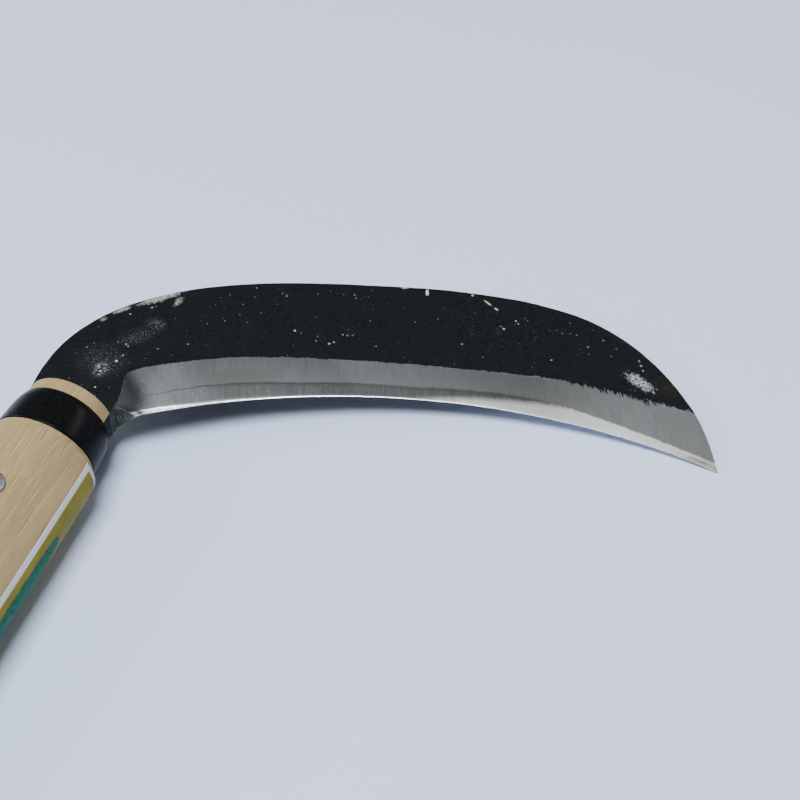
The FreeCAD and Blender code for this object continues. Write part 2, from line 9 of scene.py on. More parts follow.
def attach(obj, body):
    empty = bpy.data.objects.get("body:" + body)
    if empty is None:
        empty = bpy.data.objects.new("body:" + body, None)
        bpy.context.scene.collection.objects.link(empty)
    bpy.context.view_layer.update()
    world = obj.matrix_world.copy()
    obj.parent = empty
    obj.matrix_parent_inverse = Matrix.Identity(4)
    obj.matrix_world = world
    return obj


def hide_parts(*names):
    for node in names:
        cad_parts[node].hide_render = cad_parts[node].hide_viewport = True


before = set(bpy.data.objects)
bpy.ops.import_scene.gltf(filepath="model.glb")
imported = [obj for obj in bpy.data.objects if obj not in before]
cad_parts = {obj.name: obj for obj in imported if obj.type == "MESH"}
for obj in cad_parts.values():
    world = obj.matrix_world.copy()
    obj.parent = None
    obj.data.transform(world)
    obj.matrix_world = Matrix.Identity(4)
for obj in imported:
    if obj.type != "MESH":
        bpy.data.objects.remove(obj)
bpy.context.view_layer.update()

# ----------------------------------------------------------------- the tool's own frame
# Everything below is drawn in the tool's frame, in millimetres: origin in the middle of
# the handle's front face, +X towards the blade point, -Y along the handle, +Z up from
# the blade's face.  REST lays it on the table, as the CAD does.
REST = np.array([[0.996842, -1.1e-05, 0.07941, -78.256457],
                 [-1.1e-05, 1.0, 0.000269, 142.190887],
                 [-0.07941, -0.000269, 0.996842, 14.522104]])


def to_row(p):
    p = np.asarray(p, float)
    return (p @ REST[:, :3].T + REST[:, 3]) / 1000.0


def from_row(p):
    return (np.asarray(p, float) * 1000.0 - REST[:, 3]) @ np.linalg.inv(REST[:, :3]).T


# ----------------------------------------------------------------- camera
cam_data = bpy.data.cameras.new("camera")
cam_data.sensor_width = 36.0
cam_data.lens = 54.0
cam_data.clip_start, cam_data.clip_end = 0.01, 20.0
cam_data.dof.use_dof = False
cam = bpy.data.objects.new("camera", cam_data)
bpy.context.scene.collection.objects.link(cam)
_f = Vector((-0.2122705, 0.64546996, -0.73369608)).normalized()
_r = Vector((0.95029552, 0.31134697, -0.00102806))
_r = (_r - _f * _r.dot(_f)).normalized()
_u = _r.cross(_f)
cam.matrix_world = Matrix(((_r.x, _u.x, -_f.x, 0.07886986), (_r.y, _u.y, -_f.y, -0.04315521),
                           (_r.z, _u.z, -_f.z, 0.2620015), (0, 0, 0, 1)))
bpy.context.scene.camera = cam

# ----------------------------------------------------------------- curves and tables
SPINE = [(-12.4, 0), (-13.2, 8.7), (-12.8, 17.1), (-10.7, 25.3), (-7.3, 32.8), (-2.6, 39.7), (3.1, 45.8),
         (9.6, 51.4), (16.4, 56.3), (23.6, 60.8), (31, 64.9), (38.6, 68.6), (46.3, 72), (54.2, 75.2),
         (62.1, 78.2), (70.1, 81), (78.2, 83.6), (86.3, 85.9), (94.5, 87.8), (102.9, 89.4), (111.3, 90.4),
         (119.8, 90.6), (128.1, 89.9), (136.1, 87.7), (143.7, 84.3), (150.8, 79.7), (157.3, 74.2),
         (163.1, 67.9), (168.2, 61), (172.3, 53.6), (175.6, 46)]
EDGE = [(16.6, 4.7), (24.2, 10.1), (32, 15.2), (40, 20), (48.2, 24.4), (56.7, 28.5), (65.3, 32.2),
        (74.1, 35.6), (83, 38.6), (92, 41.2), (101.1, 43.5), (110.3, 45.3), (119.6, 46.7), (128.9, 47.7),
        (138.3, 48.3), (147.6, 48.4), (157, 48.1), (166.3, 47.3), (175.6, 46)]
GRIND = [(12, 2.4), (11.6, 6.2), (10.4, 10.6), (9.7, 14.6), (12.2, 18.1), (18.9, 23.1), (26.9, 28.3),
         (35.3, 32.9), (43.9, 37), (52.8, 40.7), (61.8, 44), (71, 47), (80.3, 49.9), (89.6, 52.6),
         (98.8, 55.2), (108, 57.8), (117.3, 60.1), (126.7, 61.8), (136.3, 62.7), (145.9, 63.3),
         (155.4, 63.8), (165.4, 65)]
SHOULDER = [(16.1, 14.75, 13.7), (17.6, 15.95, 13.78), (19.1, 16.7, 13.83), (20.6, 17.0, 13.86)]
GRIP = [(20.6, 17.0, 13.86), (56.04, 17.3, 14.0), (91.48, 17.2, 13.95), (126.92, 16.9, 13.75),
        (162.36, 16.5, 13.5), (197.8, 16.15, 13.3), (233.24, 16.0, 13.2), (268.68, 16.1, 13.25),
        (304.12, 16.6, 13.5), (339.56, 17.6, 14.05), (375.0, 18.6, 14.6)]
FERRULE = [(4.1, 13.25, 13.2), (6.08, 13.95, 13.65), (8.06, 14.3, 13.8), (10.04, 14.5, 13.85),
           (12.02, 14.65, 13.86), (14.0, 14.75, 13.85), (15.98, 14.8, 13.8)]


def natural(ts, ys):
    """Natural cubic spline through (ts, ys); ys may have columns."""
    ts, ys = np.asarray(ts, float), np.asarray(ys, float)
    if ys.ndim == 1:
        ys = ys[:, None]
    n = len(ts)
    d = np.diff(ts)
    a = np.zeros((n, n))
    b = np.zeros_like(ys)
    a[0, 0] = a[-1, -1] = 1.0
    for i in range(1, n - 1):
        a[i, i - 1], a[i, i], a[i, i + 1] = d[i - 1], 2 * (d[i - 1] + d[i]), d[i]
        b[i] = 6 * ((ys[i + 1] - ys[i]) / d[i] - (ys[i] - ys[i - 1]) / d[i - 1])
    m = np.linalg.solve(a, b)

    def ev(t):
        t = np.atleast_1d(np.asarray(t, float))
        i = np.clip(np.searchsorted(ts, t, side="right") - 1, 0, n - 2)
        w, x = d[i][:, None], (t - ts[i])[:, None]
        y = w - x
        return (m[i] * y ** 3 + m[i + 1] * x ** 3) / (6 * w) + (ys[i] / w - m[i] * w / 6) * y + \
            (ys[i + 1] / w - m[i + 1] * w / 6) * x
    return ev


def chord(pts):
    p = np.asarray(pts, float)
    return np.concatenate([[0.0], np.cumsum(np.hypot(*np.diff(p, axis=0).T))])


class Path:
    def __init__(self, pts):
        self.t = chord(pts)
        self.f = natural(self.t, pts)
        self.long = self.t[-1]
        u = np.linspace(0, self.long, 8001)
        self.dense_u, self.dense = u, self.f(u)

    def at(self, u):
        return self.f(u)

    def nearest(self, p):
        return self.dense_u[np.argmin(((self.dense - np.asarray(p)) ** 2).sum(1))]


def pchip(xs, ys):
    xs, ys = np.asarray(xs, float), np.asarray(ys, float)
    h, dl = np.diff(xs), np.diff(ys) / np.diff(xs)
    m = np.zeros(len(xs))
    for i in range(1, len(xs) - 1):
        if dl[i - 1] * dl[i] > 0:
            w1, w2 = 2 * h[i] + h[i - 1], h[i] + 2 * h[i - 1]
            m[i] = (w1 + w2) / (w1 / dl[i - 1] + w2 / dl[i])
    m[0], m[-1] = dl[0], dl[-1]

    def ev(x):
        x = np.clip(np.asarray(x, float), xs[0], xs[-1])
        i = np.clip(np.searchsorted(xs, x, side="right") - 1, 0, len(xs) - 2)
        t = (x - xs[i]) / h[i]
        return ys[i] * (1 + 2 * t) * (1 - t) ** 2 + m[i] * h[i] * t * (1 - t) ** 2 + \
            ys[i + 1] * t * t * (3 - 2 * t) + m[i + 1] * h[i] * t * t * (t - 1)
    return ev


_rng = np.random.RandomState(71)
PERM = _rng.permutation(1024)
GRAD = _rng.normal(size=(1024, 3))
GRAD /= np.linalg.norm(GRAD, axis=1)[:, None]


def gnoise(p):
    """Smooth gradient noise, about -0.6 to 0.6."""
    p = np.asarray(p, float)
    i = np.floor(p).astype(int)
    f = p - i
    u = f * f * f * (f * (f * 6 - 15) + 10)
    out = 0.0
    for dx in (0, 1):
        for dy in (0, 1):
            for dz in (0, 1):
                k = PERM[(PERM[(PERM[(i[..., 0] + dx) & 1023] + i[..., 1] + dy) & 1023] + i[..., 2] + dz) & 1023]
                g = GRAD[k]
                w = (u[..., 0] if dx else 1 - u[..., 0]) * (u[..., 1] if dy else 1 - u[..., 1]) * \
                    (u[..., 2] if dz else 1 - u[..., 2])
                out = out + w * ((f[..., 0] - dx) * g[..., 0] + (f[..., 1] - dy) * g[..., 1] + (f[..., 2] - dz) * g[..., 2])
    return out


def noise2(x, y, size, seed=0.0):
    return gnoise(np.stack([np.asarray(x) / size, np.asarray(y) / size, np.full(np.shape(x), seed + 0.37)], -1))


def thick(x, y):
    """Half thickness of the forging: tapering blade, and the tang's wedge below the neck."""
    t = np.interp(x, [14, 60, 120, 178], [9.0, 5.5, 4.0, 2.4])
    tang = 9.0 + (4.4 - 9.0) * np.clip(-np.asarray(y, float), 0, 82) / 82.0
    return np.where(np.asarray(y) < 0, tang, t) / 2


def core(x):
    return np.interp(x, [10, 30, 56, 90, 126, 178], [4.2, 3.6, 2.2, 1.7, 1.5, 0.7]) / 2


# ----------------------------------------------------------------- mesh helpers
class Build:
    """Collects vertex grids and faces; equal points are welded at the end."""

    def __init__(self):
        self.co, self.at, self.faces, self.n = [], [], [], 0

    def add(self, pts, extra):
        pts = np.asarray(pts, float)
        shape = pts.shape[:-1]
        ids = np.arange(self.n, self.n + int(np.prod(shape))).reshape(shape)
        self.co.append(pts.reshape(-1, 3))
        self.at.append(np.broadcast_to(extra, shape + (4,)).reshape(-1, 4))
        self.n += ids.size
        return ids

    def grid(self, ids, flip=False):
        a, b, c, d = ids[:-1, :-1], ids[1:, :-1], ids[1:, 1:], ids[:-1, 1:]
        q = np.stack([a, b, c, d] if not flip else [a, d, c, b], -1).reshape(-1, 4)
        self.faces += q.tolist()

    def poly(self, ids, flip=False):
        ids = [int(i) for i in ids]
        self.faces.append(ids[::-1] if flip else ids)

    def mesh(self, name, weld=2e-6):
        co = to_row(np.concatenate(self.co))
        at = np.concatenate(self.at)
        me = bpy.data.meshes.new(name)
        me.from_pydata(co.tolist(), [], self.faces)
        for k, nm in enumerate(("bev", "es", "ed", "aux")):
            me.attributes.new(nm, "FLOAT", "POINT").data.foreach_set("value", at[:, k].astype(np.float32))
        bm = bmesh.new()
        bm.from_mesh(me)
        bmesh.ops.remove_doubles(bm, verts=bm.verts, dist=weld)
        bmesh.ops.dissolve_degenerate(bm, edges=bm.edges, dist=1e-7)
        bmesh.ops.recalc_face_normals(bm, faces=bm.faces)
        loose = [v for v in bm.verts if not v.link_faces]
        if loose:
            bmesh.ops.delete(bm, geom=loose, context="VERTS")
        bm.to_mesh(me)
        bm.free()
        return me


def report_mesh(me):
    bm = bmesh.new()
    bm.from_mesh(me)
    opened = sum(1 for e in bm.edges if len(e.link_faces) != 2)
    print("mesh", me.name, "verts", len(bm.verts), "faces", len(bm.faces), "open edges", opened,
          "volume mm3 %.0f" % (bm.calc_volume() * 1e9))
    bm.free()


def finish_piece(name, me, mats, cad, sharp=32.0):
    """Object from mesh: smooth shading with sharp edges, plan coordinates, material."""
    co = np.zeros(len(me.vertices) * 3)
    me.vertices.foreach_get("co", co)
    loc = from_row(co.reshape(-1, 3))
    a = me.attributes.get("loc") or me.attributes.new("loc", "FLOAT_VECTOR", "POINT")
    a.data.foreach_set("vector", loc.astype(np.float32).ravel())
    me.polygons.foreach_set("use_smooth", [True] * len(me.polygons))
    bm = bmesh.new()
    bm.from_mesh(me)
    lim = math.radians(sharp)
    for e in bm.edges:
        e.smooth = not (len(e.link_faces) == 2 and e.calc_face_angle(0.0) > lim)
    bm.to_mesh(me)
    bm.free()
    ob = bpy.data.objects.new(name, me)
    bpy.context.scene.collection.objects.link(ob)
    for m in (mats if isinstance(mats, (list, tuple)) else [mats]):
        me.materials.append(m)
    report_mesh(me)
    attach(ob, "root")
    if cad:
        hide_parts(*([cad] if isinstance(cad, str) else cad))
    return ob


# ----------------------------------------------------------------- shader helpers
class Mat:
    def __init__(self, name):
        self.m = bpy.data.materials.new(name)
        self.m.use_nodes = True
        self.t = self.m.node_tree
        self.t.nodes.clear()
        self.out = self.t.nodes.new("ShaderNodeOutputMaterial")
        self.bsdf = self.t.nodes.new("ShaderNodeBsdfPrincipled")
        self.link(self.bsdf.outputs[0], self.out.inputs[0])

    def link(self, a, b):
        self.t.links.new(a, b)

    def put(self, sock, v):
        if isinstance(v, bpy.types.NodeSocket):
            self.link(v, sock)
        elif v is not None:
            if hasattr(sock.default_value, "__len__") and not hasattr(v, "__len__"):
                v = (v,) * len(sock.default_value)
            elif hasattr(v, "__len__") and len(v) == 3 and len(sock.default_value) == 4:
                v = (*v, 1.0)
            sock.default_value = v

    def set(self, name, v):
        self.put(self.bsdf.inputs[name], v)

    def attr(self, name, kind="Fac"):
        n = self.t.nodes.new("ShaderNodeAttribute")
        n.attribute_name = name
        return n.outputs[kind]

    def loc(self):
        return self.attr("loc", "Vector")

    def math(self, op, a, b=None, c=None, clamp=False):
        n = self.t.nodes.new("ShaderNodeMath")
        n.operation = op
        n.use_clamp = clamp
        self.put(n.inputs[0], a)
        if b is not None:
            self.put(n.inputs[1], b)
        if c is not None:
            self.put(n.inputs[2], c)
        return n.outputs[0]

    def vmath(self, op, a, b=None):
        n = self.t.nodes.new("ShaderNodeVectorMath")
        n.operation = op
        self.put(n.inputs[0], a)
        if b is not None:
            self.put(n.inputs[3] if op == "SCALE" else n.inputs[1], b)
        return n.outputs["Value"] if op in ("LENGTH", "DOT_PRODUCT", "DISTANCE") else n.outputs[0]

    def sep(self, v):
        n = self.t.nodes.new("ShaderNodeSeparateXYZ")
        self.put(n.inputs[0], v)
        return n.outputs

    def comb(self, x, y, z):
        n = self.t.nodes.new("ShaderNodeCombineXYZ")
        for i, v in enumerate((x, y, z)):
            self.put(n.inputs[i], v)
        return n.outputs[0]

    def noise(self, v, scale=1.0, detail=2.0, rough=0.5, dist=0.0, colour=False):
        n = self.t.nodes.new("ShaderNodeTexNoise")
        self.put(n.inputs["Vector"], v)
        n.inputs["Scale"].default_value = scale
        n.inputs["Detail"].default_value = detail
        n.inputs["Roughness"].default_value = rough
        n.inputs["Distortion"].default_value = dist
        return n.outputs["Color" if colour else "Fac"]

    def voronoi(self, v, scale, feature="F1", rand=1.0, out="Distance"):
        n = self.t.nodes.new("ShaderNodeTexVoronoi")
        n.feature = feature
        self.put(n.inputs["Vector"], v)
        n.inputs["Scale"].default_value = scale
        n.inputs["Randomness"].default_value = rand
        return n.outputs[out]

    def step(self, v, lo, hi, a=0.0, b=1.0):
        n = self.t.nodes.new("ShaderNodeMapRange")
        n.interpolation_type = "SMOOTHSTEP"
        n.clamp = True
        self.put(n.inputs[0], v)
        for i, x in zip((1, 2, 3, 4), (lo, hi, a, b)):
            n.inputs[i].default_value = x
        return n.outputs[0]

    def lin(self, v, lo, hi, a=0.0, b=1.0):
        n = self.t.nodes.new("ShaderNodeMapRange")
        n.clamp = True
        self.put(n.inputs[0], v)
        for i, x in zip((1, 2, 3, 4), (lo, hi, a, b)):
            n.inputs[i].default_value = x
        return n.outputs[0]

    def mix(self, f, a, b, mode="MIX"):
        n = self.t.nodes.new("ShaderNodeMix")
        n.data_type = "RGBA"
        n.blend_type = mode
        self.put(n.inputs[0], f)
        self.put(n.inputs[6], a)
        self.put(n.inputs[7], b)
        return n.outputs[2]

    def ramp(self, f, stops):
        n = self.t.nodes.new("ShaderNodeValToRGB")
        self.put(n.inputs[0], f)
        e = n.color_ramp.elements
        while len(e) < len(stops):
            e.new(0.5)
        for k, (p, c) in zip(e, stops):
            k.position = p
            k.color = (*c, 1.0)
        return n.outputs[0]

    def bump(self, height, dist, strength=1.0, normal=None):
        n = self.t.nodes.new("ShaderNodeBump")
        n.inputs["Strength"].default_value = strength
        n.inputs["Distance"].default_value = dist
        self.put(n.inputs["Height"], height)
        if normal is not None:
            self.put(n.inputs["Normal"], normal)
        return n.outputs[0]

    def near(self, p, x, y, rx, ry, turn=0.0):
        """Soft spot round a plan point: 1 in the middle, 0 outside."""
        s = self.sep(p)
        dx, dy = self.math("SUBTRACT", s[0], x), self.math("SUBTRACT", s[1], y)
        c, sn = math.cos(math.radians(turn)), math.sin(math.radians(turn))
        u = self.math("ADD", self.math("MULTIPLY", dx, c / rx), self.math("MULTIPLY", dy, sn / rx))
        v = self.math("ADD", self.math("MULTIPLY", dx, -sn / ry), self.math("MULTIPLY", dy, c / ry))
        return self.math("SQRT", self.math("ADD", self.math("MULTIPLY", u, u), self.math("MULTIPLY", v, v)))


# ----------------------------------------------------------------- materials
def blade_common(m):
    """Coordinates shared by the blade's two materials: u runs across the grinding
    strokes, v along them."""
    p = m.loc()
    q = m.sep(p)
    u = m.math("ADD", m.math("MULTIPLY", q[0], 0.92), m.math("MULTIPLY", q[1], 0.39))
    u = m.math("ADD", u, m.math("MULTIPLY", m.math("MULTIPLY", q[0], q[1]), 0.0010))
    v = m.math("ADD", m.math("MULTIPLY", q[0], -0.39), m.math("MULTIPLY", q[1], 0.92))
    st = m.noise(m.comb(m.math("MULTIPLY", u, 1.9), m.math("MULTIPLY", v, 0.11), 0.0), 1.0, 5.0, 0.78)
    fine = m.noise(m.comb(m.math("MULTIPLY", u, 8.0), m.math("MULTIPLY", v, 0.40), 3.0), 1.0, 2.0, 0.6)
    return p, q, u, v, st, fine


def ground_metal(m, p, q, u, v, st, fine, beyond):
    """Colour of the ground bevel.  beyond is how far a point lies on the steel side of
    the forge weld; the visible change of tone wanders off the weld itself."""
    d = m.attr("ed")
    iron = m.mix(m.step(st, 0.28, 0.72), IRON_LO, IRON_HI)
    wide = m.noise(m.comb(m.math("MULTIPLY", u, 0.30), m.math("MULTIPLY", v, 0.05), 4.0), 1.0, 2.0, 0.5)
    iron = m.mix(m.step(wide, 0.52, 0.70, 0.0, 0.30), iron, IRON_BAND)
    grit = m.noise(p, 5.0, 2.0, 0.6)
    iron = m.mix(m.step(grit, 0.52, 0.72, 0.0, 0.22), iron, IRON_GRIT)
    zone = m.step(m.near(p, 38.0, 26.5, 13.0, 3.6, 30.0), 1.25, 0.2, 0.0, 0.70)
    iron = m.mix(m.math("MULTIPLY", zone, m.step(st, 0.3, 0.6, 0.2, 0.8)), iron, (0.145, 0.133, 0.110))
    # painted shade: the iron is darkened from x = 19 mm towards the heel, where the rounded heel corner falls into
    # shade
    iron = m.mix(m.step(q[0], 19.0, 14.0, 0.0, 0.45), iron, (0.105, 0.112, 0.108))
    shift = m.math("ADD", m.lin(q[0], 85.0, 103.0, 0.0, 1.2), m.lin(q[0], 120.0, 164.0, 0.0, -3.8))
    cloud = m.math("MULTIPLY_ADD", m.noise(p, 0.55, 4.0, 0.62), 1.5, -0.75)
    wave = m.math("MULTIPLY_ADD", m.noise(m.comb(m.math("MULTIPLY", q[0], 0.075), 0.0, 2.0), 1.0, 2.0, 0.5), 1.6, -0.8)
    side = m.math("ADD", m.math("ADD", beyond, shift), m.math("ADD", wave, m.math("MULTIPLY", cloud, m.lin(q[0], 60.0, 150.0, 0.35, 1.0))))
    steel = m.mix(m.step(st, 0.30, 0.70), STEEL_LO, STEEL_HI)
    steel = m.mix(m.step(fine, 0.56, 0.76, 0.0, 0.25), steel, IRON_GRIT)
    # painted highlight: the steel's colour is made brighter and warmer towards the edge and, past the middle, over the
    # whole strip, standing in for the lamps' reflection near the point
    reach = m.math("SUBTRACT", m.math("MULTIPLY", m.math("SUBTRACT", q[0], 84.0), 0.150), d)
    bright = m.step(m.math("ADD", reach, m.math("MULTIPLY", cloud, 0.8)), -1.5, 2.2)
    bright = m.math("MULTIPLY", bright, m.step(q[0], 78.0, 100.0))
    lit = m.mix(m.step(st, 0.30, 0.66), TIP_HIGHLIGHT_LO, TIP_HIGHLIGHT_HI)
    lit = m.mix(m.step(fine, 0.54, 0.74, 0.0, 0.30), lit, (0.98, 0.97, 0.94))
    steel = m.mix(bright, steel, lit)
    rim = m.math("MULTIPLY", m.step(side, -0.9, 0.2), m.step(side, 1.5, 0.3))
    rim = m.math("MULTIPLY", rim, m.math("MULTIPLY", m.step(q[0], 26.0, 40.0, 0.0, 0.5), m.step(q[0], 138.0, 118.0)))
    metal = m.mix(m.math("MULTIPLY", m.step(side, -0.55, 0.55), m.step(q[0], 22.0, 40.0)), iron, steel)
    metal = m.mix(rim, metal, RIM)
    # painted light: the whole bevel's colour is scaled from x0.40 at the heel to x1.40 near the point, evening out how
    # the studio lamps fall on it; the real steel is even, and near the point the colour passes 1.0
    tone = m.math("ADD", m.lin(q[0], 15.0, 75.0, 0.40, 0.95), m.lin(q[0], 75.0, 150.0, 0.0, 0.45))
    metal = m.mix(1.0, metal, m.comb(tone, tone, tone), "MULTIPLY")
    # gold-brown stains in lines along the last of the edge
    s = m.attr("es")
    stain = m.noise(m.comb(m.math("MULTIPLY", s, 0.16), m.math("MULTIPLY", d, 2.3), 5.0), 1.0, 4.0, 0.70)
    near_edge = m.step(d, 3.2, 1.6)
    tan = m.math("MULTIPLY", near_edge, m.step(q[0], 161.0, 172.0, 0.0, 0.75))
    metal = m.mix(tan, metal, (0.52, 0.47, 0.33))
    amt = m.math("MULTIPLY", m.step(stain, 0.49, 0.58), m.math("MULTIPLY", near_edge, m.step(q[0], 156.0, 168.0, 0.0, 0.92)))
    metal = m.mix(amt, metal, (0.115, 0.088, 0.040))
    # short scratches
    nick = m.noise(m.comb(m.math("MULTIPLY", s, 0.55), m.math("MULTIPLY", d, 5.5), 2.0), 1.0, 1.0)
    metal = m.mix(m.step(nick, 0.735, 0.765, 0.0, 0.45), metal, (0.80, 0.80, 0.79))
    return metal


IRON_LO, IRON_HI, IRON_BAND, IRON_GRIT = (0.180, 0.189, 0.193), (0.236, 0.246, 0.250), (0.190, 0.197, 0.199), (0.31, 0.32, 0.32)
STEEL_LO, STEEL_HI, RIM = (0.100, 0.104, 0.102), (0.155, 0.160, 0.157), (0.088, 0.092, 0.085)
# pale steel colours of the painted highlight near the point
TIP_HIGHLIGHT_LO, TIP_HIGHLIGHT_HI = (0.72, 0.712, 0.670), (0.96, 0.955, 0.915)


def chin(m, p):
    """The square-cut front of the neck below the heel: dark, greenish, with slanting
    marks of the grinder, and a pale line where it meets the bevel."""
    q = m.sep(p)
    off = m.math("ADD", m.math("MULTIPLY", m.math("SUBTRACT", q[0], 12.0), 0.4472),
                 m.math("MULTIPLY", m.math("SUBTRACT", q[1], 2.4), -0.8944))
    front = m.math("MULTIPLY", m.step(off, -0.055, -0.02), m.math("MULTIPLY", m.step(q[0], 11.99, 12.03), m.step(q[0], 17.2, 17.0)))
    wall = m.math("MULTIPLY", m.step(q[0], 11.96, 11.985), m.step(q[1], 2.45, 2.40))
    on = m.math("MAXIMUM", front, wall)
    t = m.math("ADD", m.math("MULTIPLY", m.math("SUBTRACT", q[0], 12.0), 1.118),
               m.math("MINIMUM", m.math("SUBTRACT", q[1], 2.4), 0.0))
    dg = m.noise(m.comb(m.math("MULTIPLY", m.math("ADD", t, m.math("MULTIPLY", q[2], 0.42)), 2.3),
                        m.math("MULTIPLY", m.math("SUBTRACT", q[2], t), 0.25), 0.0), 1.0, 4.0, 0.7)
    lit = m.mix(m.step(dg, 0.38, 0.66), (0.0085, 0.0125, 0.0085), (0.105, 0.125, 0.092))
    # painted shade: the chin face is darkened as t grows away from x = 12 mm towards the heel, and towards its top
    # side
    dark = m.math("MULTIPLY", m.step(t, 0.9, 3.0, 0.0, 0.75), m.step(m.math("SUBTRACT", q[2], m.math("MULTIPLY", t, 0.15)), -2.0, 0.5))
    c = m.mix(dark, lit, (0.0085, 0.0100, 0.0065))
    arris = m.math("MULTIPLY", m.math("MULTIPLY", m.step(off, -0.42, -0.12), m.step(off, 0.02, -0.03)),
                   m.math("MULTIPLY", m.step(q[0], 11.8, 12.3), m.step(q[1], 5.4, 4.6)))
    arris = m.math("MULTIPLY", arris, m.step(m.noise(p, 1.8, 2.0), 0.40, 0.55, 0.15, 0.9))
    return on, c, arris


# places where a fleck of bare metal shows in the forge scale: x, y, radius, strength
FLECKS = [(4.8, 18.1, 0.62, 1.0), (5.5, 20.7, 0.38, 0.9), (4.3, 25.1, 0.42, 0.8), (5.2, 24.6, 0.36, 0.75),
          (3.9, 7.0, 0.38, 0.8), (4.5, 41.5, 0.45, 0.8), (5.3, 42.4, 0.30, 0.6), (-0.1, 36.6, 0.46, 0.75),
          (-5.4, 19.9, 0.36, 0.45), (-4.3, 22.0, 0.30, 0.45), (1.8, 25.0, 0.36, 0.4), (13.5, 26.8, 0.42, 0.32),
          (20.5, 32.0, 0.40, 0.38), (46.8, 49.9, 0.52, 0.8), (48.8, 49.7, 0.26, 0.6), (58.0, 49.0, 0.52, 0.75),
          (59.0, 50.2, 0.46, 0.7), (60.4, 54.2, 0.42, 0.45), (61.8, 54.4, 0.44, 0.45), (63.2, 54.9, 0.36, 0.45),
          (54.0, 48.5, 0.42, 0.25), (39.2, 62.4, 0.34, 0.7), (37.6, 62.8, 0.30, 0.5), (29.6, 61.8, 0.30, 0.75),
          (58.8, 70.5, 0.34, 0.5), (66.0, 62.8, 0.36, 0.35), (71.1, 53.6, 0.36, 0.35), (91.9, 86.0, 0.60, 0.9),
          (107.4, 80.5, 0.44, 0.95), (108.4, 79.6, 0.40, 0.85), (104.8, 75.7, 0.50, 1.0), (103.7, 76.3, 0.30, 0.6),
          (121.5, 68.7, 0.42, 0.6), (94.7, 64.5, 0.55, 0.40), (138.1, 77.3, 0.32, 0.5), (146.5, 78.8, 0.50, 0.55),
          (147.4, 77.0, 0.58, 0.6), (148.4, 75.2, 0.50, 0.55), (130.7, 78.4, 0.50, 0.30), (78.8, 67.8, 0.36, 0.35),
          (84.9, 71.8, 0.30, 0.40), (102.0, 61.8, 0.34, 0.35), (134.5, 83.0, 0.60, 0.20), (122.0, 81.0, 0.45, 0.18)]


